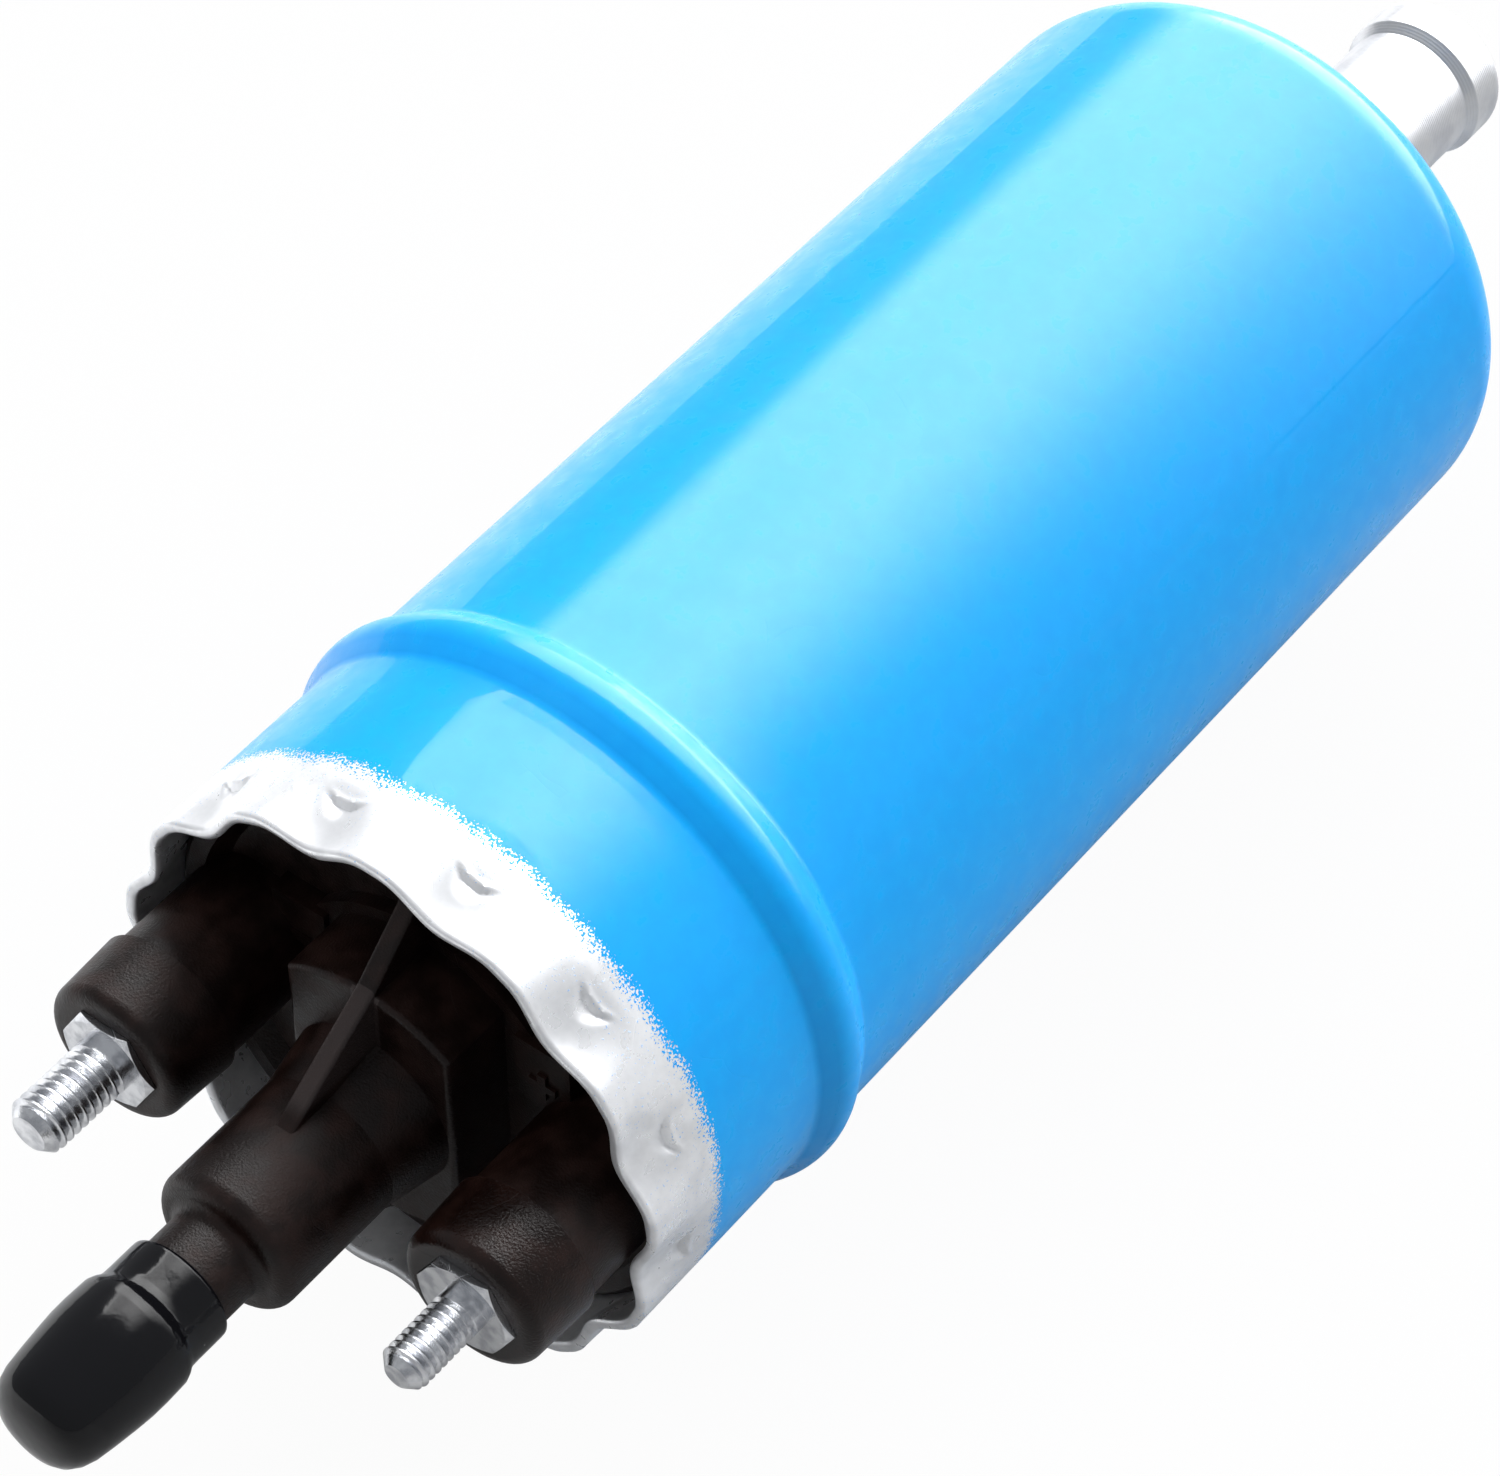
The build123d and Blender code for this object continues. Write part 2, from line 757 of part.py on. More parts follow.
# The brushes: carbon blocks hollowed to the commutator, each pushed by a spring against its tab.
# A copper shunt runs inside the spring and is soldered into the tab.
brush_wire_r = 0.25
brush_coil_r = 1.9
brush_turns = 4

with BuildPart() as brush_minus:
    with BuildSketch(across(brush_front)):
        with Locations((0, brush_outer_r / 2)):
            Rectangle(brush_across, brush_outer_r)
        Circle(brush_inner_r, mode=Mode.SUBTRACT)
    extrude(amount=brush_axial)
keep(brush_minus, "brush_minus")
brush_plus = half_turn(brush_minus)
keep(brush_plus, "brush_plus")

brush_spring_minus = coil((rim_x + brush_middle, 0, brush_outer_r + run_gap), (0, 0, 1),
                          tab_inner_r - brush_outer_r - 2 * run_gap, brush_turns,
                          brush_coil_r, brush_wire_r)
keep(brush_spring_minus, "brush_spring_minus")
brush_spring_plus = half_turn(brush_spring_minus)
keep(brush_spring_plus, "brush_spring_plus")

with BuildPart() as brush_shunt_minus:
    with BuildSketch(Plane.XY.offset(brush_outer_r)):
        with Locations((rim_x + brush_middle, 0)):
            Circle(shunt_r)
    extrude(amount=tab_outer_r - brush_outer_r)
keep(brush_shunt_minus, "brush_shunt_minus")
brush_shunt_plus = half_turn(brush_shunt_minus)
keep(brush_shunt_plus, "brush_shunt_plus")


# The armature: a steel shaft with a commutator, a slotted core and its windings. The shaft ends in
# two flats that drive the inner rotor and a thinner journal that runs in the inlet plate.
shaft_chamfer = 0.4
flat_half = 2.3
journal_length = 4.0
hub_wall = 2.9
segment_gap = 0.7
core_root_share = 0.46
tooth_share = 0.15
slot_mouth_depth = 1.65
slot_mouth = 1.6
slot_lining = 0.15
winding_inset = 1.0
winding_round = 1.2
end_turn_inset = 1.25
thrust_r = 5.4

core_root_r = core_r * core_root_share
tooth_width = core_r * tooth_share
winding_inner_r = core_root_r - winding_inset
slot_top_r = core_r - slot_mouth_depth
end_turn_r = core_r - end_turn_inset
commutator_hub_r = shaft_r + hub_wall
commutator_back = commutator_front + commutator_length

with BuildPart() as armature_shaft:
    with BuildSketch(section):
        with BuildLine():
            Polyline(
                (hub_front, 0),
                (hub_front, shaft_r - shaft_chamfer),
                (hub_front + shaft_chamfer, shaft_r),
                (rotor_front, shaft_r),
                (rotor_front, journal_r),
                (inlet_plate_front + journal_length, journal_r),
                (inlet_plate_front + journal_length, 0),
                close=True,
            )
        make_face()
    revolve(axis=Axis(section.origin, section.x_dir))
    with BuildSketch(across(rotor_front)):
        Circle(shaft_r)
        Rectangle(2 * shaft_r, 2 * flat_half, mode=Mode.INTERSECT)
    extrude(amount=rotor_length)
keep(armature_shaft, "armature_shaft")

commutator_hub = sleeve(commutator_hub_r - press_gap, shaft_r + press_gap,
                        commutator_front, commutator_back + face_gap)
keep(commutator_hub, "commutator_hub")

with BuildPart() as commutator:
    with BuildSketch(across(commutator_front)):
        Circle(commutator_r)
        Circle(commutator_hub_r, mode=Mode.SUBTRACT)
        with PolarLocations(commutator_r, slot_count):
            Rectangle(commutator_r, segment_gap, mode=Mode.SUBTRACT)
    extrude(amount=commutator_length)
keep(commutator, "commutator")


def slot_face(lining):
    """The core's slots: each widens outwards between two parallel teeth, less the lining."""
    with BuildSketch(mode=Mode.PRIVATE) as slot:
        with BuildLine():
            low_r = core_root_r + lining
            high_r = slot_top_r - lining
            half_pitch = math.tan(math.pi / slot_count)
            low_half = low_r * half_pitch - tooth_width / 2 - lining
            high_half = high_r * half_pitch - tooth_width / 2 - lining
            Polyline((low_r, -low_half), (high_r, -high_half), (high_r, high_half),
                     (low_r, low_half), close=True)
        make_face()
    return slot.sketch


with BuildPart() as armature_core:
    with BuildSketch(across(core_front)):
        Circle(core_r)
        Circle(shaft_r + press_gap, mode=Mode.SUBTRACT)
        with PolarLocations(0, slot_count):
            add(slot_face(0), mode=Mode.SUBTRACT)
            with Locations(((slot_top_r + core_r) / 2, 0)):
                Rectangle(core_r - slot_top_r + 2 * slot_lining, slot_mouth, mode=Mode.SUBTRACT)
    extrude(amount=core_back - core_front)
keep(armature_core, "armature_core")

with BuildPart() as armature_windings:
    for front in (core_front - end_turn_length, core_back):
        with BuildSketch(across(front)):
            Circle(end_turn_r)
            Circle(winding_inner_r, mode=Mode.SUBTRACT)
        extrude(amount=end_turn_length)
    with BuildSketch(across(core_front)):
        with PolarLocations(0, slot_count):
            add(slot_face(slot_lining))
    extrude(amount=core_back - core_front)
    outer_ends = armature_windings.edges().filter_by(GeomType.CIRCLE).group_by(Axis.X)
    fillet(outer_ends[0] + outer_ends[-1], winding_round)
keep(armature_windings, "armature_windings")

with BuildPart() as thrust_washers:
    for front in (bush_back + run_gap, outlet_plate_front - washer_length - run_gap):
        with BuildSketch(across(front)):
            Circle(thrust_r)
            Circle(shaft_r + run_gap, mode=Mode.SUBTRACT)
        extrude(amount=washer_length)
keep(thrust_washers, "thrust_washers")


# The field: a steel ring in the can that carries two ferrite arcs, held apart by spring clips.
clip_wall = 0.7
clip_margin = 2.0

flux_ring = sleeve(stack_r, flux_inner_r, holder_back, outlet_plate_front)
keep(flux_ring, "flux_ring")

with BuildPart() as magnet_upper:
    with BuildSketch(across(magnet_front)):
        with BuildLine():
            arc_start = 90 - magnet_half_angle
            arc_end = 90 + magnet_half_angle
            CenterArc((0, 0), magnet_r, arc_start, 2 * magnet_half_angle)
            Line(polar(magnet_r, arc_end), polar(magnet_inner_r, arc_end))
            CenterArc((0, 0), magnet_inner_r, arc_start, 2 * magnet_half_angle)
            Line(polar(magnet_inner_r, arc_start), polar(magnet_r, arc_start))
        make_face()
    extrude(amount=magnet_back - magnet_front)
keep(magnet_upper, "magnet_upper")
magnet_lower = half_turn(magnet_upper)
keep(magnet_lower, "magnet_lower")

with BuildPart() as magnet_clips:
    leg_gap = clip_wall / 2 + run_gap
    leg_inner_r = magnet_inner_r + clip_wall
    leg_outer_r = flux_inner_r - 2 * clip_wall
    inner_turn = 90 - magnet_half_angle - math.degrees(leg_gap / leg_inner_r)
    outer_turn = 90 - magnet_half_angle - math.degrees(leg_gap / leg_outer_r)
    for side in (0, 180):
        with BuildSketch(across(magnet_front + clip_margin)):
            with BuildLine():
                Polyline(polar(leg_inner_r, side - inner_turn), polar(leg_outer_r, side - outer_turn),
                         polar(leg_outer_r, side + outer_turn), polar(leg_inner_r, side + inner_turn))
            trace(line_width=clip_wall)
        extrude(amount=magnet_back - magnet_front - 2 * clip_margin)
keep(magnet_clips, "magnet_clips")


# The pump stage: two plates clamp a ring in which the outer rotor runs off the shaft's axis, driven
# by the inner rotor, which has one tooth fewer. Kidney ports open where the chambers grow and shrink.
# The relief passage runs beside the rotors, from the motor side to a ball in the inlet cover.
port_inset = 2.0
port_width = 3.4
port_span = 110
screw_gap = 0.15
head_length = 2.5
counterbore_depth = 3.2
thread_length = 6.0
hex_socket = 2.5
outer_root_gap = 0.1
port_mean_r = lobe_place_r - port_inset

rear_bush = sleeve(bush_r - press_gap, shaft_r + run_gap, outlet_plate_front, rotor_front)
keep(rear_bush, "rear_bush")

with BuildPart() as pump_outlet_plate:
    with BuildSketch(across(outlet_plate_front)):
        Circle(stack_r)
        Circle(bush_r, mode=Mode.SUBTRACT)
        SlotArc(CenterArc((0, 0), port_mean_r, 180 - port_span / 2, port_span), port_width,
                mode=Mode.SUBTRACT)
        with PolarLocations(screw_circle_r, screw_count, start_angle=45):
            Circle(screw_r + screw_gap, mode=Mode.SUBTRACT)
        with Locations((0, -relief_place_r)):
            Circle(relief_passage_r, mode=Mode.SUBTRACT)
    extrude(amount=plate_length)
    with BuildSketch(across(outlet_plate_front)):
        with PolarLocations(screw_circle_r, screw_count, start_angle=45):
            Circle(screw_head_r + screw_gap)
    extrude(amount=counterbore_depth, mode=Mode.SUBTRACT)
keep(pump_outlet_plate, "pump_outlet_plate")

with BuildPart() as pump_ring:
    with BuildSketch(across(rotor_front)):
        Circle(stack_r)
        with Locations((0, rotor_offset)):
            Circle(outer_rotor_r + run_gap, mode=Mode.SUBTRACT)
        with PolarLocations(screw_circle_r, screw_count, start_angle=45):
            Circle(screw_r + screw_gap, mode=Mode.SUBTRACT)
        with Locations((0, -relief_place_r)):
            Circle(relief_passage_r, mode=Mode.SUBTRACT)
    extrude(amount=rotor_length)
keep(pump_ring, "pump_ring")


def rotor_outline(points_per_tooth):
    """Points of the inner rotor: the path of an outer lobe's centre, set in by the lobe's radius.

    Seen from the inner rotor, that centre circles at lobe_place_r while the outer rotor's own centre
    circles at rotor_offset, once more for each tooth. A tooth points up, where the two rotors meet.
    """
    points = []
    count = tooth_count * points_per_tooth
    inset = lobe_r + lobe_gap
    for i in range(count):
        turn = 2 * math.pi * i / count
        fast = (tooth_count + 1) * turn
        x = lobe_place_r * math.cos(turn) + rotor_offset * math.cos(fast)
        y = lobe_place_r * math.sin(turn) + rotor_offset * math.sin(fast)
        along_x = -lobe_place_r * math.sin(turn) - rotor_offset * (tooth_count + 1) * math.sin(fast)
        along_y = lobe_place_r * math.cos(turn) + rotor_offset * (tooth_count + 1) * math.cos(fast)
        speed = math.hypot(along_x, along_y)
        points.append((-y - inset * along_x / speed, x - inset * along_y / speed))
    return points


rotor_play = run_gap
with BuildPart() as inner_rotor:
    with BuildSketch(across(rotor_front + rotor_play)):
        with BuildLine():
            Spline(*rotor_outline(16), periodic=True)
        make_face()
        with BuildSketch(mode=Mode.PRIVATE) as drive_hole:
            Circle(shaft_r + run_gap)
            Rectangle(2 * shaft_r + 2 * run_gap, 2 * (flat_half + run_gap), mode=Mode.INTERSECT)
        add(drive_hole.sketch, mode=Mode.SUBTRACT)
    extrude(amount=rotor_length - 2 * rotor_play)
keep(inner_rotor, "inner_rotor")

with BuildPart() as outer_rotor:
    outer_plane = Plane(across(rotor_front + rotor_play).location * Location((0, rotor_offset, 0)))
    with BuildSketch(outer_plane):
        Circle(outer_rotor_r)
        Circle(lobe_place_r - lobe_r + 2 * rotor_offset + outer_root_gap, mode=Mode.SUBTRACT)
        with PolarLocations(lobe_place_r, tooth_count + 1, start_angle=90):
            Circle(lobe_r)
    extrude(amount=rotor_length - 2 * rotor_play)
keep(outer_rotor, "outer_rotor")

with BuildPart() as pump_inlet_plate:
    with BuildSketch(across(inlet_plate_front)):
        Circle(stack_r)
        SlotArc(CenterArc((0, 0), port_mean_r, -port_span / 2, port_span), port_width,
                mode=Mode.SUBTRACT)
        with PolarLocations(screw_circle_r, screw_count, start_angle=45):
            Circle(screw_r + screw_gap, mode=Mode.SUBTRACT)
        with Locations((0, -relief_place_r)):
            Circle(relief_passage_r, mode=Mode.SUBTRACT)
    extrude(amount=plate_length)
    with BuildSketch(across(inlet_plate_front)):
        Circle(journal_r + run_gap)
    extrude(amount=journal_length + face_gap, mode=Mode.SUBTRACT)
keep(pump_inlet_plate, "pump_inlet_plate")

with BuildPart() as pump_screws:
    head_back = outlet_plate_front + counterbore_depth
    with BuildSketch(across(head_back - head_length)):
        with PolarLocations(screw_circle_r, screw_count, start_angle=45):
            Circle(screw_head_r)
            RegularPolygon(hex_socket / 2, side_count=6, major_radius=False, mode=Mode.SUBTRACT)
    extrude(amount=head_length)
    with BuildSketch(across(head_back - head_length / 2)):
        with PolarLocations(screw_circle_r, screw_count, start_angle=45):
            Circle(screw_r)
    extrude(amount=cover_front + thread_length - head_back + head_length / 2)
keep(pump_screws, "pump_screws")


# The inlet cover: an aluminium casting that fills the can's end. Its spigot comes out through the
# can and ends in a hose bead. Inside are the suction chamber, the strainer and the relief valve.
cover_seal_inset = 9.3
suction_inset = 0.5
suction_depth = 5.0
strainer_r = 7.0
strainer_wall = 0.6
strainer_seat_depth = 1.2
mesh_hole_r = 0.7
mesh_pitch = 2.3
spigot_ramp = 1.0
spigot_bead_length = 5.2
spigot_round = 1.4
spigot_chamfer = 0.4
relief_depth = 8.0
relief_vent_r = 1.2
relief_ball_r = 2.4
relief_wire_r = 0.3
relief_coil_r = 2.0
relief_turns = 5
cover_curve_r = shoulder_r - can_wall - loose_gap
cover_groove_r = can_inner_r - seal_height
cover_seal_station = end_inside - cover_seal_inset
cover_groove_front = cover_seal_station - loose_gap
suction_r = lobe_place_r - suction_inset
spigot_bead_front = inlet_end - spigot_bead_length
spigot_land_end = inlet_end - spigot_round
suction_back = cover_front + suction_depth
strainer_seat = suction_back + strainer_seat_depth

with BuildPart() as inlet_cover:
    with BuildSketch(section):
        with BuildLine():
            Polyline(
                (shoulder_start, stack_r),
                (cover_groove_front + seal_groove_width, stack_r),
                (cover_groove_front + seal_groove_width, cover_groove_r),
                (cover_groove_front, cover_groove_r),
                (cover_groove_front, stack_r),
                (cover_front, stack_r),
                (cover_front, suction_r),
                (suction_back, suction_r),
                (suction_back, strainer_r),
                (strainer_seat, strainer_r),
                (strainer_seat, inlet_bore_r),
                (inlet_end - spigot_chamfer, inlet_bore_r),
                (inlet_end, inlet_bore_r + spigot_chamfer),
            )
            spigot_shoulder = (spigot_land_end, inlet_bead_r)
            Line((inlet_end, inlet_bore_r + spigot_chamfer), (inlet_end, inlet_bead_r - 3 * spigot_chamfer))
            Bezier((inlet_end, inlet_bead_r - 3 * spigot_chamfer), (inlet_end, inlet_bead_r), spigot_shoulder)
            Polyline(
                spigot_shoulder,
                (spigot_bead_front + spigot_ramp, inlet_bead_r),
                (spigot_bead_front, inlet_r),
                (shoulder_start + cover_curve_r, inlet_r),
                (shoulder_start + cover_curve_r, can_r - shoulder_r),
            )
            RadiusArc((shoulder_start + cover_curve_r, can_r - shoulder_r), (shoulder_start, stack_r),
                      -cover_curve_r)
        make_face()
    revolve(axis=Axis(section.origin, section.x_dir))
    with BuildSketch(across(cover_front)):
        with Locations((0, -relief_place_r)):
            Circle(relief_chamber_r)
    extrude(amount=relief_depth, mode=Mode.SUBTRACT)
    with BuildSketch(across(cover_front)):
        with PolarLocations(screw_circle_r, screw_count, start_angle=45):
            Circle(screw_r + run_gap)
    extrude(amount=thread_length + 2 * face_gap, mode=Mode.SUBTRACT)
    with BuildSketch(Plane.XY.offset(-relief_place_r)):
        with Locations((rim_x + cover_front + suction_depth / 2, 0)):
            Circle(relief_vent_r)
    extrude(amount=relief_place_r - suction_r + overrun, mode=Mode.SUBTRACT)
keep(inlet_cover, "inlet_cover")

cover_o_ring = seal_ring(section, can_inner_r - press_gap, cover_groove_r + press_gap, cover_seal_station)
keep(cover_o_ring, "cover_o_ring")

with BuildPart() as inlet_strainer:
    with BuildSketch(across(strainer_seat - strainer_wall)):
        Circle(strainer_r - run_gap)
        Circle(mesh_hole_r, mode=Mode.SUBTRACT)
        for ring in (1, 2):
            with PolarLocations(ring * mesh_pitch, 6 * ring):
                Circle(mesh_hole_r, mode=Mode.SUBTRACT)
    extrude(amount=strainer_wall)
keep(inlet_strainer, "inlet_strainer")

ball_middle = cover_front + math.sqrt(relief_ball_r**2 - relief_passage_r**2) + run_gap
with BuildPart() as relief_ball:
    with Locations((rim_x + ball_middle, 0, -relief_place_r)):
        Sphere(relief_ball_r)
keep(relief_ball, "relief_ball")

relief_spring_front = ball_middle + relief_ball_r - relief_wire_r
relief_spring_length = cover_front + relief_depth - relief_spring_front - run_gap
relief_spring = coil((rim_x + relief_spring_front, 0, -relief_place_r), (1, 0, 0),
                     relief_spring_length, relief_turns, relief_coil_r, relief_wire_r)
keep(relief_spring, "relief_spring")
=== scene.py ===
import math

import bmesh
import bpy
from mathutils import Matrix, Vector, noise


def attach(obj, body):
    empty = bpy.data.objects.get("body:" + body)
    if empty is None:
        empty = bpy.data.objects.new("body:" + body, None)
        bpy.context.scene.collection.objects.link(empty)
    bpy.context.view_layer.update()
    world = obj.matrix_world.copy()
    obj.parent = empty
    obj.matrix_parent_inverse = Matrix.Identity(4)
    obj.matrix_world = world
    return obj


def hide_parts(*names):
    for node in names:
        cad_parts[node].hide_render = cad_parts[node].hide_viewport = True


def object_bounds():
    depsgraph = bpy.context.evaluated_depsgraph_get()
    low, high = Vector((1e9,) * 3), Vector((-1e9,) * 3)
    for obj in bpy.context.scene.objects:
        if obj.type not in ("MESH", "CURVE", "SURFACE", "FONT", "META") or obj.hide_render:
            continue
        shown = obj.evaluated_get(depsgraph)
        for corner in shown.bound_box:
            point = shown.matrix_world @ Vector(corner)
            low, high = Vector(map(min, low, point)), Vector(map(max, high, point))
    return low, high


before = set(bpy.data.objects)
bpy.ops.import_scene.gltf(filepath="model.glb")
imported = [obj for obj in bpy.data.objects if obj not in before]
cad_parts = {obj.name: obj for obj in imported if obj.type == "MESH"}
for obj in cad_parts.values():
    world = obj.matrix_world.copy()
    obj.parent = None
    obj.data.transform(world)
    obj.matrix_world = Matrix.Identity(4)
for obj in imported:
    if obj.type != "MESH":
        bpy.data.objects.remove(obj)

cad_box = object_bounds()
mm = 0.001
rim_x = -69.0 * mm

# The camera looks down on the pump from the outlet end, with a long lens close to the object.
# Its place and turn come from a fit of the can's rims, the bead, the studs and the spigot.
camera_place = Vector((-239.49, -165.11, 304.12)) * mm
sensor_width = 36.0
lens_length = 122.68
camera = bpy.data.objects.new("camera", bpy.data.cameras.new("camera"))
bpy.context.scene.collection.objects.link(camera)
camera.data.sensor_width = sensor_width
camera.data.lens = lens_length
camera.data.clip_start = 10 * mm
camera.matrix_world = Matrix.Translation(camera_place) @ Matrix((
    (0.60784, 0.59276, -0.52836, 0),
    (-0.79405, 0.45375, -0.40445, 0),
    (0, 0.66538, 0.74649, 0),
    (0, 0, 0, 1),
))
bpy.context.scene.camera = camera
bpy.context.scene.view_settings.view_transform = "Standard"


# The floor is a pale table top under the pump, and the world a white room round it.
# Both look white to the camera, and dimmer in gloss. In gloss the table is painted darker towards -Y,
# a painted shade beside the pump. The table keeps the pump's soft shadow.
room_light = 0.24
room_in_gloss = 0.42
table_radius = 2.5
table_gap = 0.05 * mm
paper_shade = 0.36
paper_in_gloss = (0.4, 0.95)
paper_turn = (-0.06, 0.12)
table_glow = 1.04
table_glow_share = 0.92


def add_node(tree, kind, inputs=None, **settings):
    """A shader node with its settings, and with its inputs given as values or as other sockets."""
    node = tree.nodes.new("ShaderNode" + kind)
    for name, value in settings.items():
        setattr(node, name, value)
    for name, value in (inputs or {}).items():
        if isinstance(value, bpy.types.NodeSocket):
            tree.links.new(value, node.inputs[name])
        else:
            node.inputs[name].default_value = value
    return node


def calculate(tree, operation, first, second=0.0):
    """The value of one sum on two numbers or sockets."""
    return add_node(tree, "Math", {0: first, 1: second}, operation=operation).outputs[0]


def ramp(tree, value, start, end, low=0.0, high=1.0):
    """The value carried smoothly from one range to another."""
    node = add_node(tree, "MapRange", {"Value": value, "From Min": start, "From Max": end,
                                       "To Min": low, "To Max": high}, interpolation_type="SMOOTHSTEP")
    return node.outputs["Result"]


def blend(tree, share, first, second):
    """Two numbers mixed by a share."""
    return add_node(tree, "Mix", {0: share, 2: first, 3: second}, data_type="FLOAT").outputs[0]


def seen_directly(tree):
    """1 for camera and transmission rays, and 0 for light that reflects or scatters."""
    path = add_node(tree, "LightPath").outputs
    return calculate(tree, "MAXIMUM", path["Is Camera Ray"], path["Is Transmission Ray"])


def unless_gloss(tree, plain, in_gloss):
    """One value for scattered light and another one for glossy rays."""
    return blend(tree, add_node(tree, "LightPath").outputs["Is Glossy Ray"], plain, in_gloss)


world = bpy.data.worlds.new("white_room")
bpy.context.scene.world = world
world.use_nodes = True
tree = world.node_tree
tree.nodes.clear()
level = unless_gloss(tree, room_light, room_in_gloss)
room = add_node(tree, "Background", {"Color": (0.93, 0.96, 1.0, 1), "Strength": level})
backdrop = add_node(tree, "Background", {"Color": (1, 1, 1, 1), "Strength": 1.0})
seen = add_node(tree, "MixShader", {0: seen_directly(tree), 1: room.outputs[0], 2: backdrop.outputs[0]})
add_node(tree, "OutputWorld", {"Surface": seen.outputs[0]})

bm = bmesh.new()
bmesh.ops.create_circle(bm, cap_ends=True, segments=96, radius=table_radius)
bmesh.ops.translate(bm, verts=bm.verts, vec=(0, 0, cad_box[0][2] - table_gap))
table = bpy.data.objects.new("table_top", bpy.data.meshes.new("table_top"))
bm.to_mesh(table.data)
bm.free()
bpy.context.scene.collection.objects.link(table)
material = bpy.data.materials.new("white_table")
material.use_nodes = True
tree = material.node_tree
tree.nodes.clear()
left = add_node(tree, "SeparateXYZ", {0: add_node(tree, "TexCoord").outputs["Object"]}).outputs["Y"]
# Painted shade: in gloss the table turns darker towards -Y, so the side of the pump facing it reflects dark.
dim = ramp(tree, left, *paper_turn, *paper_in_gloss)
paper = add_node(tree, "BsdfDiffuse", {"Color": unless_gloss(tree, paper_shade, dim)})
glow = add_node(tree, "Emission", {"Color": (1, 1, 1, 1), "Strength": table_glow})
share = calculate(tree, "MULTIPLY", seen_directly(tree), table_glow_share)
top = add_node(tree, "MixShader", {0: share, 1: paper.outputs[0], 2: glow.outputs[0]})
add_node(tree, "OutputMaterial", {"Surface": top.outputs[0]})
table.data.materials.append(material)


# The lamps: a tall soft box behind the pump, and a soft fill from the left. The box is two lamps, one
# that only scatters on the pump, and one that only shows in gloss, as the long pale patch on the paint.
# The second one fades towards its right end and dips a little at its left, which is cut on a slant.
box_distance = 0.9
box_middle = 1.15
box_height = 2.3
scatter_width = 2.8
scatter_shift = -0.25
scatter_radiance = 4.6
gloss_width = 2.6
gloss_radiance = 10.4
gloss_fade = (-1.25, 0.05)
gloss_dip = (0.1, 0.8)
gloss_dip_level = 0.76
gloss_slant = 0.65
gloss_cut = (0.74, 0.4)
fill_place = (-0.25, 0.5, 1.0)
fill_size = (1.2, 1.0)
fill_radiance = 2.2


def soft_box(name, place, aim, width, height, radiance, in_gloss):
    """A rectangular lamp of that radiance, aimed at a point."""
    lamp = bpy.data.lights.new(name, "AREA")
    lamp.shape = "RECTANGLE"
    lamp.size = width
    lamp.size_y = height
    lamp.energy = radiance * math.pi * width * height
    box = bpy.data.objects.new(name, lamp)
    bpy.context.scene.collection.objects.link(box)
    towards = Vector(aim) - Vector(place)
    box.matrix_world = Matrix.Translation(place) @ towards.to_track_quat("-Z", "Y").to_matrix().to_4x4()
    box.visible_camera = False
    box.visible_glossy = in_gloss
    return box


soft_box("back_light", (box_distance, scatter_shift, box_middle), (0, scatter_shift, box_middle),
         scatter_width, box_height, scatter_radiance, False)
back_box = soft_box("back_box", (box_distance, 0, box_middle), (0, 0, box_middle),
                    gloss_width, box_height, gloss_radiance, True)
back_box.visible_diffuse = False
back_box.data.use_nodes = True
tree = back_box.data.node_tree
spot = add_node(tree, "SeparateXYZ", {0: add_node(tree, "NewGeometry").outputs["Position"]}).outputs
fall = ramp(tree, spot["Y"], *gloss_fade)
dip = ramp(tree, spot["Y"], *gloss_dip, 1.0, gloss_dip_level)
slant = calculate(tree, "SUBTRACT", spot["Y"], calculate(tree, "MULTIPLY", spot["Z"], gloss_slant))
edge = ramp(tree, slant, *gloss_cut)
glow = calculate(tree, "MULTIPLY", calculate(tree, "MULTIPLY", fall, dip), edge)
tree.links.new(glow, tree.nodes["Emission"].inputs["Strength"])
soft_box("left_fill", fill_place, (0, 0, 0), *fill_size, fill_radiance, False)


# The can is drawn from steel sheet, rolled to a bead near its mouth and sprayed blue from outside.
# Its mouth is crimped inwards by 13 punches that leave it bare and wavy, each with a chisel stab.
can_r = 26.0
can_length = 119.0
wall = 1.0
inside_r = can_r - wall
bead_middle = 22.5
bead_reach = 3.3
bead_r = 2.65
bead_foot_r = 1.3
bead_hollow = 1.1
shoulder_r = 6.4
spigot_hole_r = 6.45
crimps = 13
first_crimp = math.radians(104.6)
crimp_reach = 6.4
crimp_depth = 1.5
stab_ridge = 4.35
stab_length = 1.6
stab_half_width = 2.2
stab_depth = 0.56


def arc(centre, radius, start, end, steps):
    """Points of an arc in the outline, as station and radius, between two angles in degrees."""
    turns = [math.radians(start + (end - start) * i / steps) for i in range(steps + 1)]
    return [(centre[0] + radius * math.cos(t), centre[1] + radius * math.sin(t)) for t in turns]


def stations(start, end, radius, step):
    """Points along a straight run of the outline, no further apart than the step."""
    count = max(1, round(abs(end - start) / step))
    return [(start + (end - start) * i / count, radius) for i in range(count + 1)]


def lathe(outline, steps):
    """A mesh spun about the pump's axis from an outline of stations and radii in millimetres."""
    bm = bmesh.new()
    points = [bm.verts.new((rim_x + station * mm, radius * mm, 0)) for station, radius in outline]
    for one, other in zip(points, points[1:]):
        bm.edges.new((one, other))
    bmesh.ops.spin(bm, geom=bm.verts[:] + bm.edges[:], cent=(0, 0, 0), axis=(1, 0, 0), dvec=(0, 0, 0),
                   angle=2 * math.pi, steps=steps, use_merge=True, use_duplicate=False)
    bmesh.ops.remove_doubles(bm, verts=bm.verts, dist=0.0005 * mm)
    bmesh.ops.recalc_face_normals(bm, faces=bm.faces)
    return bm


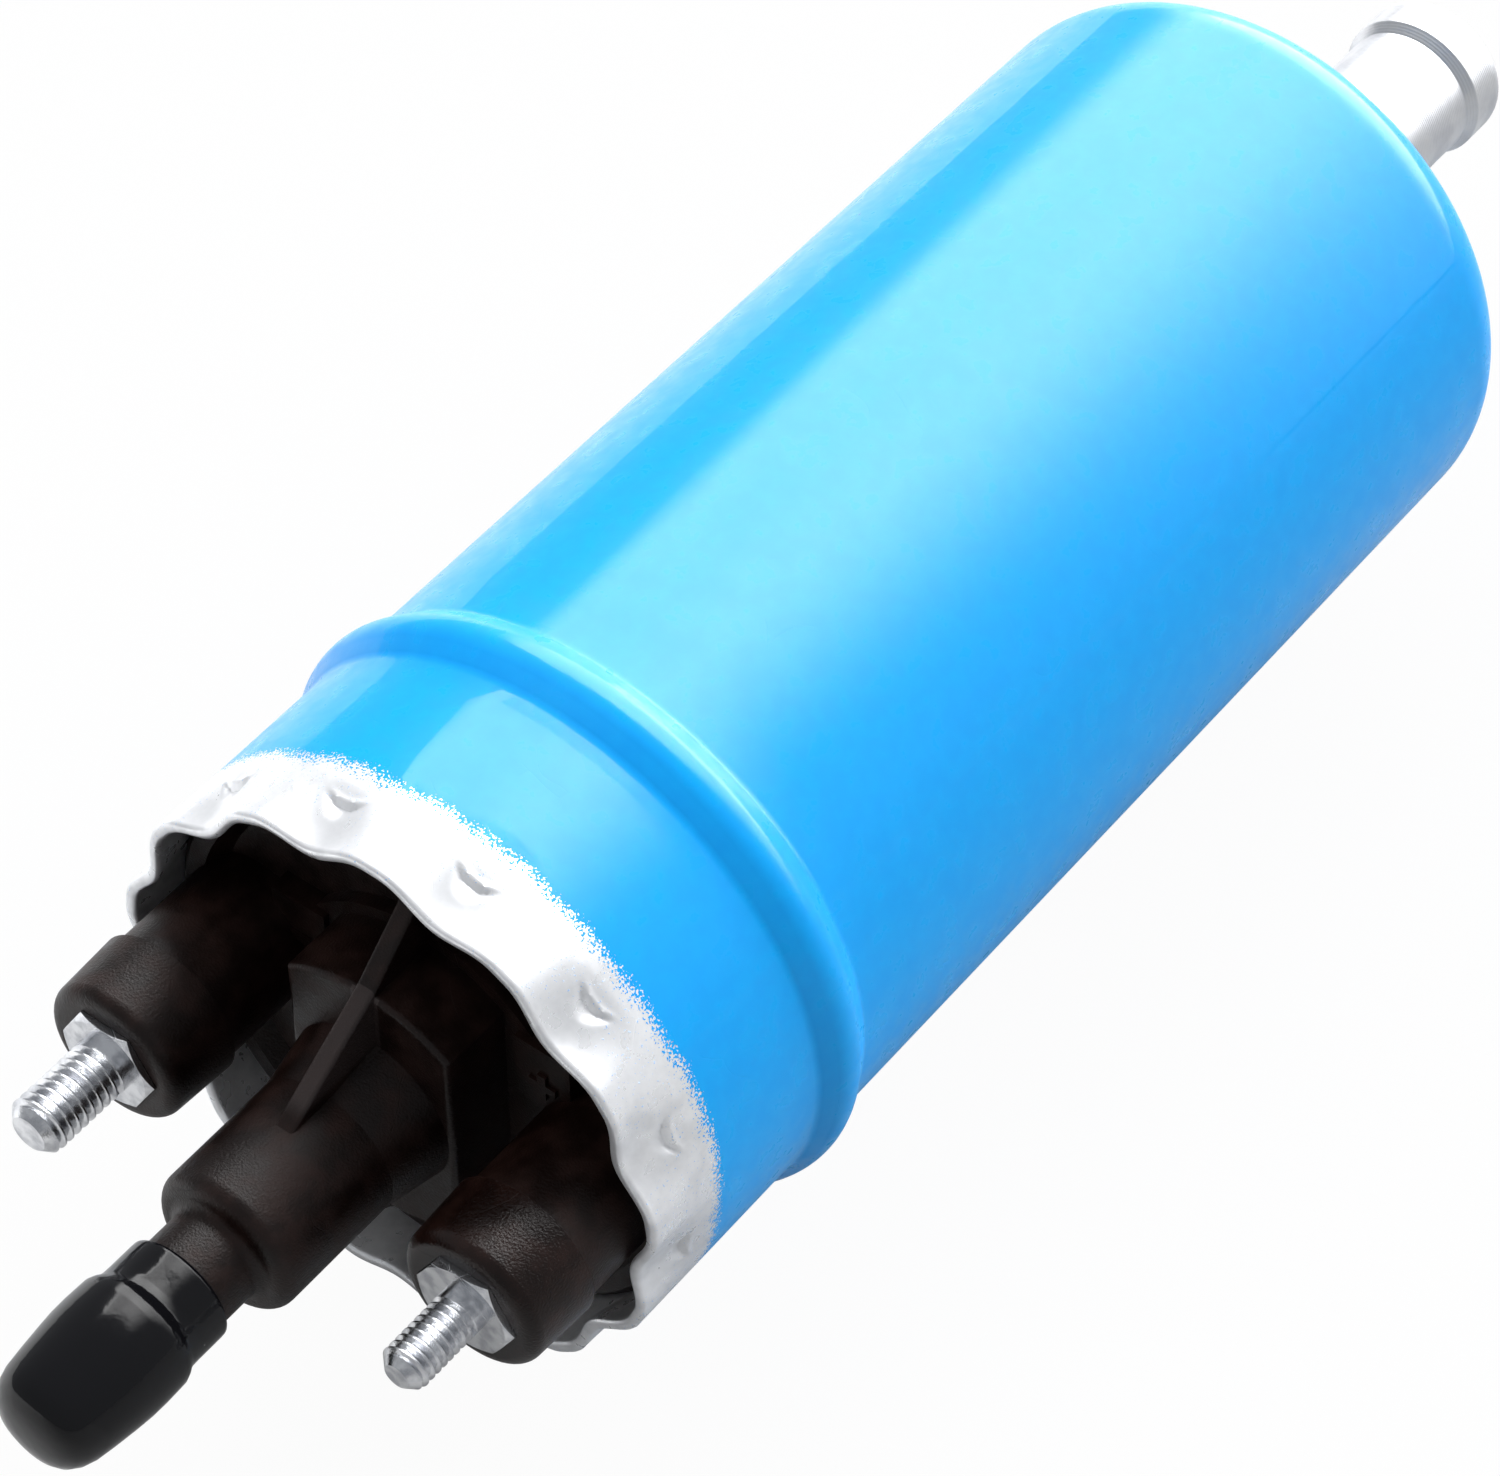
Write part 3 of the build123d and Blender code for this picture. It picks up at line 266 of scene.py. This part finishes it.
def make_piece(name, bm, body, nodes, material, sharp=40):
    """Make a mesh a finished piece that stands for its CAD nodes."""
    mesh = bpy.data.meshes.new(name)
    bm.to_mesh(mesh)
    bm.free()
    mesh.shade_smooth()
    mesh.set_sharp_from_angle(angle=math.radians(sharp))
    mesh.materials.append(material)
    piece = bpy.data.objects.new(name, mesh)
    bpy.context.scene.collection.objects.link(piece)
    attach(piece, body)
    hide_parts(*nodes)
    return piece


def smooth(value):
    """An S-curve from 0 to 1."""
    value = min(1, max(0, value))
    return value * value * (3 - 2 * value)


def crimp_push(station, turn, outside):
    """How far the crimping tool has pushed the lip inwards there."""
    pitch = 2 * math.pi / crimps
    off = (turn - first_crimp + pitch / 2) % pitch - pitch / 2
    wave = math.cos(math.pi * min(1, abs(off) / (0.44 * pitch))) * 0.5 + 0.5
    push = crimp_depth * wave * smooth(1 - station / crimp_reach) ** 0.8
    across = abs(off) * can_r
    ridge = stab_ridge + 0.7 * (across / stab_half_width) ** 2
    back = (ridge - station) / stab_length
    half = stab_half_width * (1 - 0.4 * back)
    if 0 <= back < 1 and across < half:
        edge = smooth((half - across) / 1.3) * smooth((ridge - station) / 0.3)
        push += (stab_depth if outside else 0.4 * stab_depth) * (1 - back) ** 1.2 * edge
    if outside and across < stab_half_width and 0 <= station - ridge < 0.6:
        push -= 0.1 * smooth(1 - (station - ridge) / 0.6) * smooth((stab_half_width - across) / 1.3)
    return push


bead_start = bead_middle - bead_reach
bead_end = bead_middle + bead_reach
shoulder_station = can_length - shoulder_r
shoulder_radius = can_r - shoulder_r
end_inside = can_length - wall
outline = (
    [(0.3, inside_r), (0.1, inside_r + 0.09), (0, inside_r + 0.3), (0, can_r - 0.3), (0.09, can_r - 0.1)]
    + stations(0.3, 5.5, can_r, 0.2)
    + stations(6.0, bead_start, can_r, 2.2)
    + arc((bead_start, can_r + bead_foot_r), bead_foot_r, -90, -45, 5)[1:]
    + arc((bead_middle, can_r + bead_foot_r - bead_r), bead_r, 128, 52, 12)
    + arc((bead_end, can_r + bead_foot_r), bead_foot_r, -135, -90, 5)
    + [(30, can_r), (shoulder_station, can_r)]
    + arc((shoulder_station, shoulder_radius), shoulder_r, 90, 0, 20)[1:]
    + [(can_length, 12.0), (can_length, spigot_hole_r + 0.25), (can_length - 0.2, spigot_hole_r),
       (end_inside, spigot_hole_r), (end_inside, shoulder_radius)]
    + arc((shoulder_station, shoulder_radius), shoulder_r - wall, 0, 90, 8)[1:]
    + [(25.4, inside_r), (bead_middle, inside_r + bead_hollow), (19.6, inside_r), (5.5, inside_r)]
    + stations(5.0, 0.6, inside_r, 0.55)
)
bm = lathe(outline + outline[:1], crimps * 56)
for vert in bm.verts:
    station = (vert.co.x - rim_x) / mm
    if station < crimp_reach:
        radius = math.hypot(vert.co.y, vert.co.z)
        turn = math.atan2(vert.co.z, vert.co.y)
        push = crimp_push(station, turn, radius / mm > can_r - 0.5 * wall) * mm
        vert.co.y *= (radius - push) / radius
        vert.co.z *= (radius - push) / radius


def shader_group(name, inputs, outputs):
    """A new node group with numbers as its inputs, each with a value, and numbers as its outputs."""
    tree = bpy.data.node_groups.new(name, "ShaderNodeTree")
    for label, value in inputs.items():
        socket = tree.interface.new_socket(label, in_out="INPUT", socket_type="NodeSocketFloat")
        socket.default_value = value
    for label in outputs:
        tree.interface.new_socket(label, in_out="OUTPUT", socket_type="NodeSocketFloat")
    given = tree.nodes.new("NodeGroupInput")
    result = tree.nodes.new("NodeGroupOutput")
    return tree, given.outputs, result.inputs


def use_group(tree, group, **inputs):
    """Place a node group in a material and give its outputs."""
    node = tree.nodes.new("ShaderNodeGroup")
    node.node_tree = group
    for name, value in inputs.items():
        node.inputs[name.replace("_", " ").capitalize()].default_value = value
    return node.outputs


def mixed(tree, share, first, second):
    """Two colours mixed by a share."""
    node = add_node(tree, "Mix", {0: share, 6: first, 7: second}, data_type="RGBA")
    return node.outputs[2]


# Station from the rim, distance from the pump's axis and place across it, all in millimetres.
place_on_pump, given, result = shader_group("place_on_pump", {}, ("Station", "Radius", "Side"))
spot = add_node(place_on_pump, "TexCoord").outputs["Object"]
parts = add_node(place_on_pump, "SeparateXYZ", {0: spot}).outputs
from_rim = calculate(place_on_pump, "SUBTRACT", parts["X"], rim_x)
across = add_node(place_on_pump, "CombineXYZ", {"Y": parts["Y"], "Z": parts["Z"]}).outputs[0]
from_axis = add_node(place_on_pump, "VectorMath", {0: across}, operation="LENGTH").outputs["Value"]
place_on_pump.links.new(calculate(place_on_pump, "DIVIDE", from_rim, mm), result["Station"])
place_on_pump.links.new(calculate(place_on_pump, "DIVIDE", from_axis, mm), result["Radius"])
place_on_pump.links.new(calculate(place_on_pump, "DIVIDE", parts["Y"], mm), result["Side"])

# Grain of a size in millimetres, with slow patches of shade twelve times larger.
fine_grain, given, result = shader_group("fine_grain", {"Size": 0.2}, ("Height", "Shade"))
spot = add_node(fine_grain, "TexCoord").outputs["Object"]
fineness = calculate(fine_grain, "DIVIDE", 1 / mm, given["Size"])
grain = add_node(fine_grain, "TexNoise", {"Vector": spot, "Scale": fineness, "Detail": 2.0})
patches = add_node(fine_grain, "TexNoise", {"Vector": spot, "Detail": 3.0,
                                            "Scale": calculate(fine_grain, "DIVIDE", fineness, 12.0)})
fine_grain.links.new(grain.outputs["Fac"], result["Height"])
fine_grain.links.new(patches.outputs["Fac"], result["Shade"])

# Fine scratches that run all ways, and specks of a size in millimetres on a share of the surface.
handling_marks, given, result = shader_group("handling_marks", {"Speck size": 0.25, "Speck share": 0.3},
                                             ("Scratches", "Specks"))
spot = add_node(handling_marks, "TexCoord").outputs["Object"]
bent = add_node(handling_marks, "TexNoise", {"Vector": spot, "Scale": 90.0, "Detail": 1.0})
swayed = add_node(handling_marks, "VectorMath", {0: bent.outputs["Color"], 1: (0.012,) * 3},
                  operation="MULTIPLY")
swayed = add_node(handling_marks, "VectorMath", {0: spot, 1: swayed.outputs[0]}, operation="ADD")
lines = add_node(handling_marks, "TexVoronoi", {"Vector": swayed.outputs[0], "Scale": 120.0},
                 feature="DISTANCE_TO_EDGE")
thin = ramp(handling_marks, lines.outputs["Distance"], 0.0, 0.006, 1.0, 0.0)
broken = add_node(handling_marks, "TexNoise", {"Vector": spot, "Scale": 160.0, "Detail": 2.0})
thin = calculate(handling_marks, "MULTIPLY", thin, ramp(handling_marks, broken.outputs["Fac"], 0.56, 0.62))
cells = add_node(handling_marks, "TexVoronoi", {"Vector": spot, "Scale": 240.0})
size = calculate(handling_marks, "MULTIPLY", given["Speck size"], 0.12)
chosen = add_node(handling_marks, "SeparateXYZ", {0: cells.outputs["Color"]}).outputs
size = calculate(handling_marks, "MULTIPLY", size, chosen["Y"])
dot = calculate(handling_marks, "LESS_THAN", cells.outputs["Distance"], size)
dot = calculate(handling_marks, "MULTIPLY", dot,
                calculate(handling_marks, "LESS_THAN", chosen["X"], given["Speck share"]))
handling_marks.links.new(thin, result["Scratches"])
handling_marks.links.new(dot, result["Specks"])


def new_material(name, **sockets):
    """A material with its plain values on the shader, and its node tree to draw the rest in."""
    material = bpy.data.materials.new(name)
    material.use_nodes = True
    shader = material.node_tree.nodes["Principled BSDF"]
    for label, value in sockets.items():
        shader.inputs[label.replace("_", " ").title().replace("Ior", "IOR")].default_value = value
    return material, material.node_tree, shader.inputs


def bump(tree, height, distance, strength=1.0, under=None):
    """The normal of a height from 0 to 1 over a distance in millimetres, laid over another normal."""
    inputs = {"Height": height, "Distance": distance * mm, "Strength": strength}
    if under:
        inputs["Normal"] = under
    return add_node(tree, "Bump", inputs).outputs["Normal"]


# The paint goes on from outside over the mouth's edge, so it thins out there to separate droplets.
paint = (0.003, 0.42, 1.0, 1)
paint_far = (0.002, 0.39, 0.98, 1)
paint_pit = (0.0, 0.05, 0.16, 1)
bare_steel = (0.93, 0.94, 0.96, 1)
worn_steel = (0.78, 0.79, 0.81, 1)
spray_edge = (7.1, 9.9)
spray_cover = 1.25
painted_can, tree, shader = new_material("painted_can", coat_roughness=0.03, coat_ior=1.5,
                                         specular_ior_level=0.1)
place = use_group(tree, place_on_pump)
marks = use_group(tree, handling_marks, speck_size=0.4, speck_share=0.08)
grain = use_group(tree, fine_grain, size=0.16)
spot = add_node(tree, "TexCoord").outputs["Object"]
waver = add_node(tree, "TexNoise", {"Vector": spot, "Scale": 220.0, "Detail": 2.0}).outputs["Fac"]
spray_station = calculate(tree, "ADD", place["Station"], calculate(tree, "MULTIPLY", waver, 1.8))
cover = ramp(tree, spray_station, *spray_edge, 0.0, spray_cover)
droplets = add_node(tree, "TexNoise", {"Vector": spot, "Scale": 5200.0, "Detail": 2.5}).outputs["Fac"]
droplets = ramp(tree, droplets, 0.3, 0.7)
sprayed = ramp(tree, calculate(tree, "SUBTRACT", cover, droplets), -0.04, 0.04)
past_side = calculate(tree, "MAXIMUM", calculate(tree, "SUBTRACT", place["Radius"], shoulder_radius), 0.0)
past_end = calculate(tree, "MAXIMUM", calculate(tree, "SUBTRACT", place["Station"], shoulder_station), 0.0)
reach = calculate(tree, "ADD", calculate(tree, "MULTIPLY", past_side, past_side),
                  calculate(tree, "MULTIPLY", past_end, past_end))
outside = ramp(tree, calculate(tree, "SQRT", reach), shoulder_r - 0.8, shoulder_r - 0.5)
sprayed = calculate(tree, "MULTIPLY", sprayed, outside)
tint = mixed(tree, ramp(tree, grain["Shade"], 0.3, 0.7), paint, paint_far)
tint = mixed(tree, calculate(tree, "MULTIPLY", marks["Specks"], 0.75), tint, paint_pit)
metal = mixed(tree, ramp(tree, grain["Shade"], 0.35, 0.75), bare_steel, worn_steel)
tree.links.new(mixed(tree, sprayed, metal, tint), shader["Base Color"])
tree.links.new(calculate(tree, "MULTIPLY", calculate(tree, "SUBTRACT", 1.0, sprayed), 0.6),
               shader["Metallic"])
tree.links.new(calculate(tree, "MULTIPLY", sprayed, 0.36), shader["Coat Weight"])
rough_metal = ramp(tree, grain["Shade"], 0.3, 0.7, 0.26, 0.4)
tree.links.new(calculate(tree, "ADD", rough_metal, calculate(tree, "MULTIPLY", marks["Scratches"], 0.1)),
               shader["Roughness"])
peel = add_node(tree, "TexNoise", {"Vector": spot, "Scale": 350.0, "Detail": 1.0}).outputs["Fac"]
skin = calculate(tree, "SUBTRACT", calculate(tree, "MULTIPLY", peel, 0.2),
                 calculate(tree, "MULTIPLY", marks["Scratches"], 0.3))
skin = calculate(tree, "ADD", skin, calculate(tree, "MULTIPLY", sprayed, 1.2))
tree.links.new(bump(tree, skin, 0.03, 0.8), shader["Normal"])
tree.links.new(bump(tree, peel, 0.03, 0.1), shader["Coat Normal"])
make_piece("can", bm, "housing", ["housing_shell"], painted_can, sharp=50)


# The end cap is one moulding of dark brown glass-filled plastic, pressed into the can's mouth.
# Its skin has a fine spark grain and a few specks of dust, and its fins are painted paler as painted
# light, for the lamp that falls on them. The front of the plus boss is polished.
def dress(names, material):
    """Give CAD nodes their finish."""
    for name in names.split():
        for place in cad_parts[name].material_slots:
            place.material = material


def moulded_plastic(name, dark, pale, roughness, grain_size, grain_depth, dust):
    """A moulded plastic with its grain, cloudy shade and dust."""
    material, tree, shader = new_material(name, ior=1.5, specular_ior_level=0.27)
    grain = use_group(tree, fine_grain, size=grain_size)
    marks = use_group(tree, handling_marks, speck_size=0.35, speck_share=dust)
    shade = mixed(tree, ramp(tree, grain["Shade"], 0.35, 0.7), dark, pale)
    shade = mixed(tree, calculate(tree, "MULTIPLY", marks["Specks"], 0.5), shade, (0.35, 0.32, 0.3, 1))
    tree.links.new(shade, shader["Base Color"])
    tree.links.new(ramp(tree, grain["Shade"], 0.3, 0.7, roughness - 0.06, roughness + 0.06),
                   shader["Roughness"])
    skin = calculate(tree, "SUBTRACT", grain["Height"], calculate(tree, "MULTIPLY", marks["Scratches"], 0.4))
    tree.links.new(bump(tree, skin, grain_depth), shader["Normal"])
    return material


polished_before = -4.7
polished_beyond = -9.0
polished_roughness = 0.2
fin_half_width = 1.3
fin_foot = (6.9, 7.9)
fin_back = -1.0
fin_painted_light = (0.045, 0.034, 0.033, 1)
cap_plastic = moulded_plastic("dark_cap_plastic", (0.005, 0.0018, 0.0012, 1), (0.015, 0.0065, 0.005, 1),
                              0.42, 0.2, 0.05, 0.3)
tree = cap_plastic.node_tree
shader = tree.nodes["Principled BSDF"].inputs
place = use_group(tree, place_on_pump)
polished = calculate(tree, "MULTIPLY", calculate(tree, "LESS_THAN", place["Station"], polished_before),
                     calculate(tree, "LESS_THAN", place["Side"], polished_beyond))
spark = shader["Roughness"].links[0].from_socket
tree.links.new(blend(tree, polished, spark, polished_roughness), shader["Roughness"])
off_middle = calculate(tree, "ABSOLUTE", place["Side"])
on_fin = calculate(tree, "MULTIPLY", calculate(tree, "LESS_THAN", off_middle, fin_half_width),
                   ramp(tree, place["Radius"], *fin_foot))
on_fin = calculate(tree, "MULTIPLY", on_fin, calculate(tree, "LESS_THAN", place["Station"], fin_back))
skin_colour = shader["Base Color"].links[0].from_socket
# Painted light: the fins are painted paler, for the lamp that falls on them.
fin_with_painted_light = mixed(tree, calculate(tree, "MULTIPLY", on_fin, 0.7), skin_colour, fin_painted_light)
tree.links.new(fin_with_painted_light, shader["Base Color"])
dress("end_cap", cap_plastic)


# The seals are rubber rings, moulded with a faint bloom on their skin, and squeezed into their
# grooves when the can is closed.
dress("cap_o_ring cover_o_ring terminal_seal_m5 terminal_seal_m4",
      moulded_plastic("seal_rubber", (0.012, 0.012, 0.012, 1), (0.03, 0.03, 0.03, 1), 0.55, 0.4, 0.01, 0.1))


# The terminal studs are rolled steel with bright zinc plating, a hexagon collar let into the boss
# and a metric thread. The plating is cloudy, with a fine tooth from the tank.
def worked_metal(name, pale, dark, roughness, grain_size=0.15, grain_depth=0.01, mark_pitch=0.0,
                 mark_depth=0.0):
    """A metal with a cloudy shade, a fine grain, and turning marks round the pump's axis."""
    material, tree, shader = new_material(name, metallic=1.0)
    grain = use_group(tree, fine_grain, size=grain_size)
    marks = use_group(tree, handling_marks, speck_size=0.3, speck_share=0.15)
    shade = mixed(tree, ramp(tree, grain["Shade"], 0.35, 0.7), pale, dark)
    tree.links.new(mixed(tree, calculate(tree, "MULTIPLY", marks["Specks"], 0.5), shade, dark),
                   shader["Base Color"])
    rough = ramp(tree, grain["Shade"], 0.3, 0.7, roughness - 0.07, roughness + 0.07)
    tree.links.new(calculate(tree, "ADD", rough, calculate(tree, "MULTIPLY", marks["Scratches"], 0.12)),
                   shader["Roughness"])
    skin = calculate(tree, "SUBTRACT", grain["Height"], calculate(tree, "MULTIPLY", marks["Scratches"], 0.5))
    normal = bump(tree, skin, grain_depth)
    if mark_pitch:
        station = use_group(tree, place_on_pump)["Station"]
        turned = calculate(tree, "SINE", calculate(tree, "MULTIPLY", station, 2 * math.pi / mark_pitch))
        normal = bump(tree, turned, mark_depth, 0.6, normal)
    tree.links.new(normal, shader["Normal"])
    return material


dress("terminal_stud_m5 terminal_stud_m4",
      worked_metal("zinc_plate", (0.82, 0.83, 0.85, 1), (0.5, 0.51, 0.54, 1), 0.2, 0.12, 0.014))


# The transit cap is a dipped vinyl thimble, glossy black, stretched over the barb of the outlet
# port. Its end is a little crushed, and its rim has a thin rolled edge.
vinyl_outline = (
    [(-23.25, 4.2), (-23.02, 4.32), (-23.0, 4.5), (-23.12, 4.64), (-23.4, 4.66)]
    + [(-24.5, 4.66), (-25.8, 4.66), (-26.6, 4.68), (-27.0, 4.78), (-27.4, 5.02), (-27.9, 5.2),
       (-28.6, 5.23), (-30.0, 5.27), (-31.4, 5.25), (-33.0, 5.12), (-35.0, 4.9), (-36.6, 4.68)]
    + [(-37.6, 4.42), (-38.3, 4.0), (-38.8, 3.3), (-39.12, 2.3), (-39.27, 1.15), (-39.3, 0)]
)
inside = [(-38.7, 0), (-38.6, 1.4), (-38.2, 2.9), (-37.3, 3.8), (-36.0, 4.16), (-30.4, 4.6),
          (-29.5, 4.66), (-28.2, 4.6), (-27.2, 4.25), (-24.0, 4.14)]
bm = lathe(vinyl_outline + inside + vinyl_outline[:1], 120)
for vert in bm.verts:
    station = (vert.co.x - rim_x) / mm
    radius = math.hypot(vert.co.y, vert.co.z)
    lump = noise.noise(vert.co * 210.0)
    dent = 0.16 * max(0, lump) * smooth((-30 - station) / 8)
    fold = 0.45 * smooth((-36.5 - station) / 3) * max(0, math.cos(math.atan2(vert.co.z, vert.co.y) * 2 - 0.6))
    keep = 1 - (dent + 0.5 * fold * min(1, radius / mm / 4)) * mm / max(radius, 1.5 * mm)
    vert.co.y *= keep
    vert.co.z *= keep
dipped_vinyl, tree, shader = new_material("dipped_vinyl", ior=1.48, specular_ior_level=0.28)
grain = use_group(tree, fine_grain, size=1.1)
marks = use_group(tree, handling_marks, speck_size=0.3, speck_share=0.4)
shade = mixed(tree, grain["Shade"], (0.002, 0.002, 0.003, 1), (0.005, 0.005, 0.006, 1))
tree.links.new(mixed(tree, calculate(tree, "MULTIPLY", marks["Specks"], 0.3), shade, (0.3, 0.3, 0.3, 1)),
               shader["Base Color"])
tree.links.new(ramp(tree, grain["Shade"], 0.3, 0.7, 0.06, 0.12), shader["Roughness"])
tree.links.new(bump(tree, grain["Height"], 0.03, 0.5), shader["Normal"])
make_piece("vinyl_cap", bm, "transit_cap", ["outlet_cap"], dipped_vinyl, sharp=60)


# The check valve: a turned brass seat pressed into the tower, a moulded poppet on it, and a spring
# of drawn steel wire that closes it.
turned_brass = worked_metal("turned_brass", (0.85, 0.62, 0.28, 1), (0.62, 0.42, 0.16, 1), 0.28, 0.2, 0.006,
                            0.35, 0.02)
dress("check_valve_seat", turned_brass)
dress("check_valve_poppet",
      moulded_plastic("poppet_plastic", (0.5, 0.47, 0.4, 1), (0.6, 0.57, 0.5, 1), 0.35, 0.5, 0.01, 0.1))
spring_steel = worked_metal("drawn_spring_wire", (0.55, 0.55, 0.56, 1), (0.36, 0.36, 0.38, 1), 0.25, 0.08,
                            0.008)
dress("check_valve_spring relief_spring brush_spring_minus brush_spring_plus magnet_clips", spring_steel)


# The brush gear: a pale moulded holder, sintered bronze bushes, stamped brass straps, pressed
# carbon brushes and their copper shunts, braided from fine wire.
dress("brush_holder",
      moulded_plastic("holder_plastic", (0.32, 0.27, 0.18, 1), (0.42, 0.36, 0.26, 1), 0.45, 0.35, 0.02, 0.2))
dress("front_bush rear_bush",
      worked_metal("sintered_bronze", (0.6, 0.36, 0.18, 1), (0.34, 0.19, 0.09, 1), 0.48, 0.09, 0.03))
dress("contact_strap_minus contact_strap_plus",
      worked_metal("stamped_brass", (0.86, 0.64, 0.3, 1), (0.66, 0.46, 0.2, 1), 0.34, 0.3, 0.008))
pressed_carbon = moulded_plastic("pressed_carbon", (0.02, 0.02, 0.022, 1), (0.06, 0.06, 0.064, 1), 0.5, 0.1,
                                 0.03, 0.4)
dress("brush_minus brush_plus", pressed_carbon)
copper = worked_metal("drawn_copper", (0.92, 0.5, 0.32, 1), (0.6, 0.26, 0.14, 1), 0.3, 0.18, 0.02, 0.3, 0.03)
dress("brush_shunt_minus brush_shunt_plus", copper)


# The armature: a ground shaft, a moulded hub under copper segments, a stack of punched sheets and
# enamelled windings, with two fibre washers that take its end thrust.
dress("armature_shaft",
      worked_metal("ground_steel", (0.78, 0.78, 0.79, 1), (0.62, 0.62, 0.64, 1), 0.18, 0.1, 0.004,
                   0.12, 0.006))
dress("commutator_hub",
      moulded_plastic("hub_resin", (0.05, 0.02, 0.01, 1), (0.1, 0.04, 0.02, 1), 0.4, 0.3, 0.02, 0.1))
dress("commutator", copper)
dress("armature_core",
      worked_metal("punched_sheets", (0.36, 0.36, 0.38, 1), (0.2, 0.2, 0.22, 1), 0.42, 0.14, 0.01, 0.5, 0.08))
dress("armature_windings",
      worked_metal("enamelled_wire", (0.72, 0.24, 0.08, 1), (0.4, 0.1, 0.03, 1), 0.3, 0.3, 0.03, 0.6, 0.2))
dress("thrust_washers",
      moulded_plastic("fibre_washer", (0.2, 0.1, 0.05, 1), (0.3, 0.16, 0.08, 1), 0.6, 0.2, 0.03, 0.2))


# The field: a rolled steel ring, and two sintered ferrite arcs that keep a matt, slightly chalky
# skin from the kiln.
dress("flux_ring",
      worked_metal("rolled_ring", (0.5, 0.5, 0.52, 1), (0.34, 0.34, 0.36, 1), 0.38, 0.25, 0.015))
dress("magnet_upper magnet_lower",
      moulded_plastic("ferrite", (0.03, 0.03, 0.034, 1), (0.07, 0.07, 0.075, 1), 0.62, 0.15, 0.04, 0.5))


# The pump stage: lapped sintered iron plates, ring and rotors, held by black socket screws.
dress("pump_outlet_plate pump_ring pump_inlet_plate inner_rotor outer_rotor",
      worked_metal("lapped_sinter", (0.52, 0.52, 0.52, 1), (0.36, 0.36, 0.37, 1), 0.34, 0.07, 0.012))
dress("pump_screws",
      worked_metal("black_screw", (0.12, 0.12, 0.13, 1), (0.05, 0.05, 0.055, 1), 0.36, 0.12, 0.01))


# The inlet cover is cast in aluminium. Its spigot is turned to a hose bead, so it shows fine rings
# and a satin skin. The strainer and the relief ball are steel.
dress("inlet_cover",
      worked_metal("turned_aluminium", (0.74, 0.75, 0.77, 1), (0.58, 0.59, 0.62, 1), 0.36, 0.3, 0.012,
                   0.24, 0.008))
dress("inlet_strainer relief_ball",
      worked_metal("bright_steel", (0.75, 0.75, 0.76, 1), (0.58, 0.58, 0.6, 1), 0.2, 0.1, 0.004))
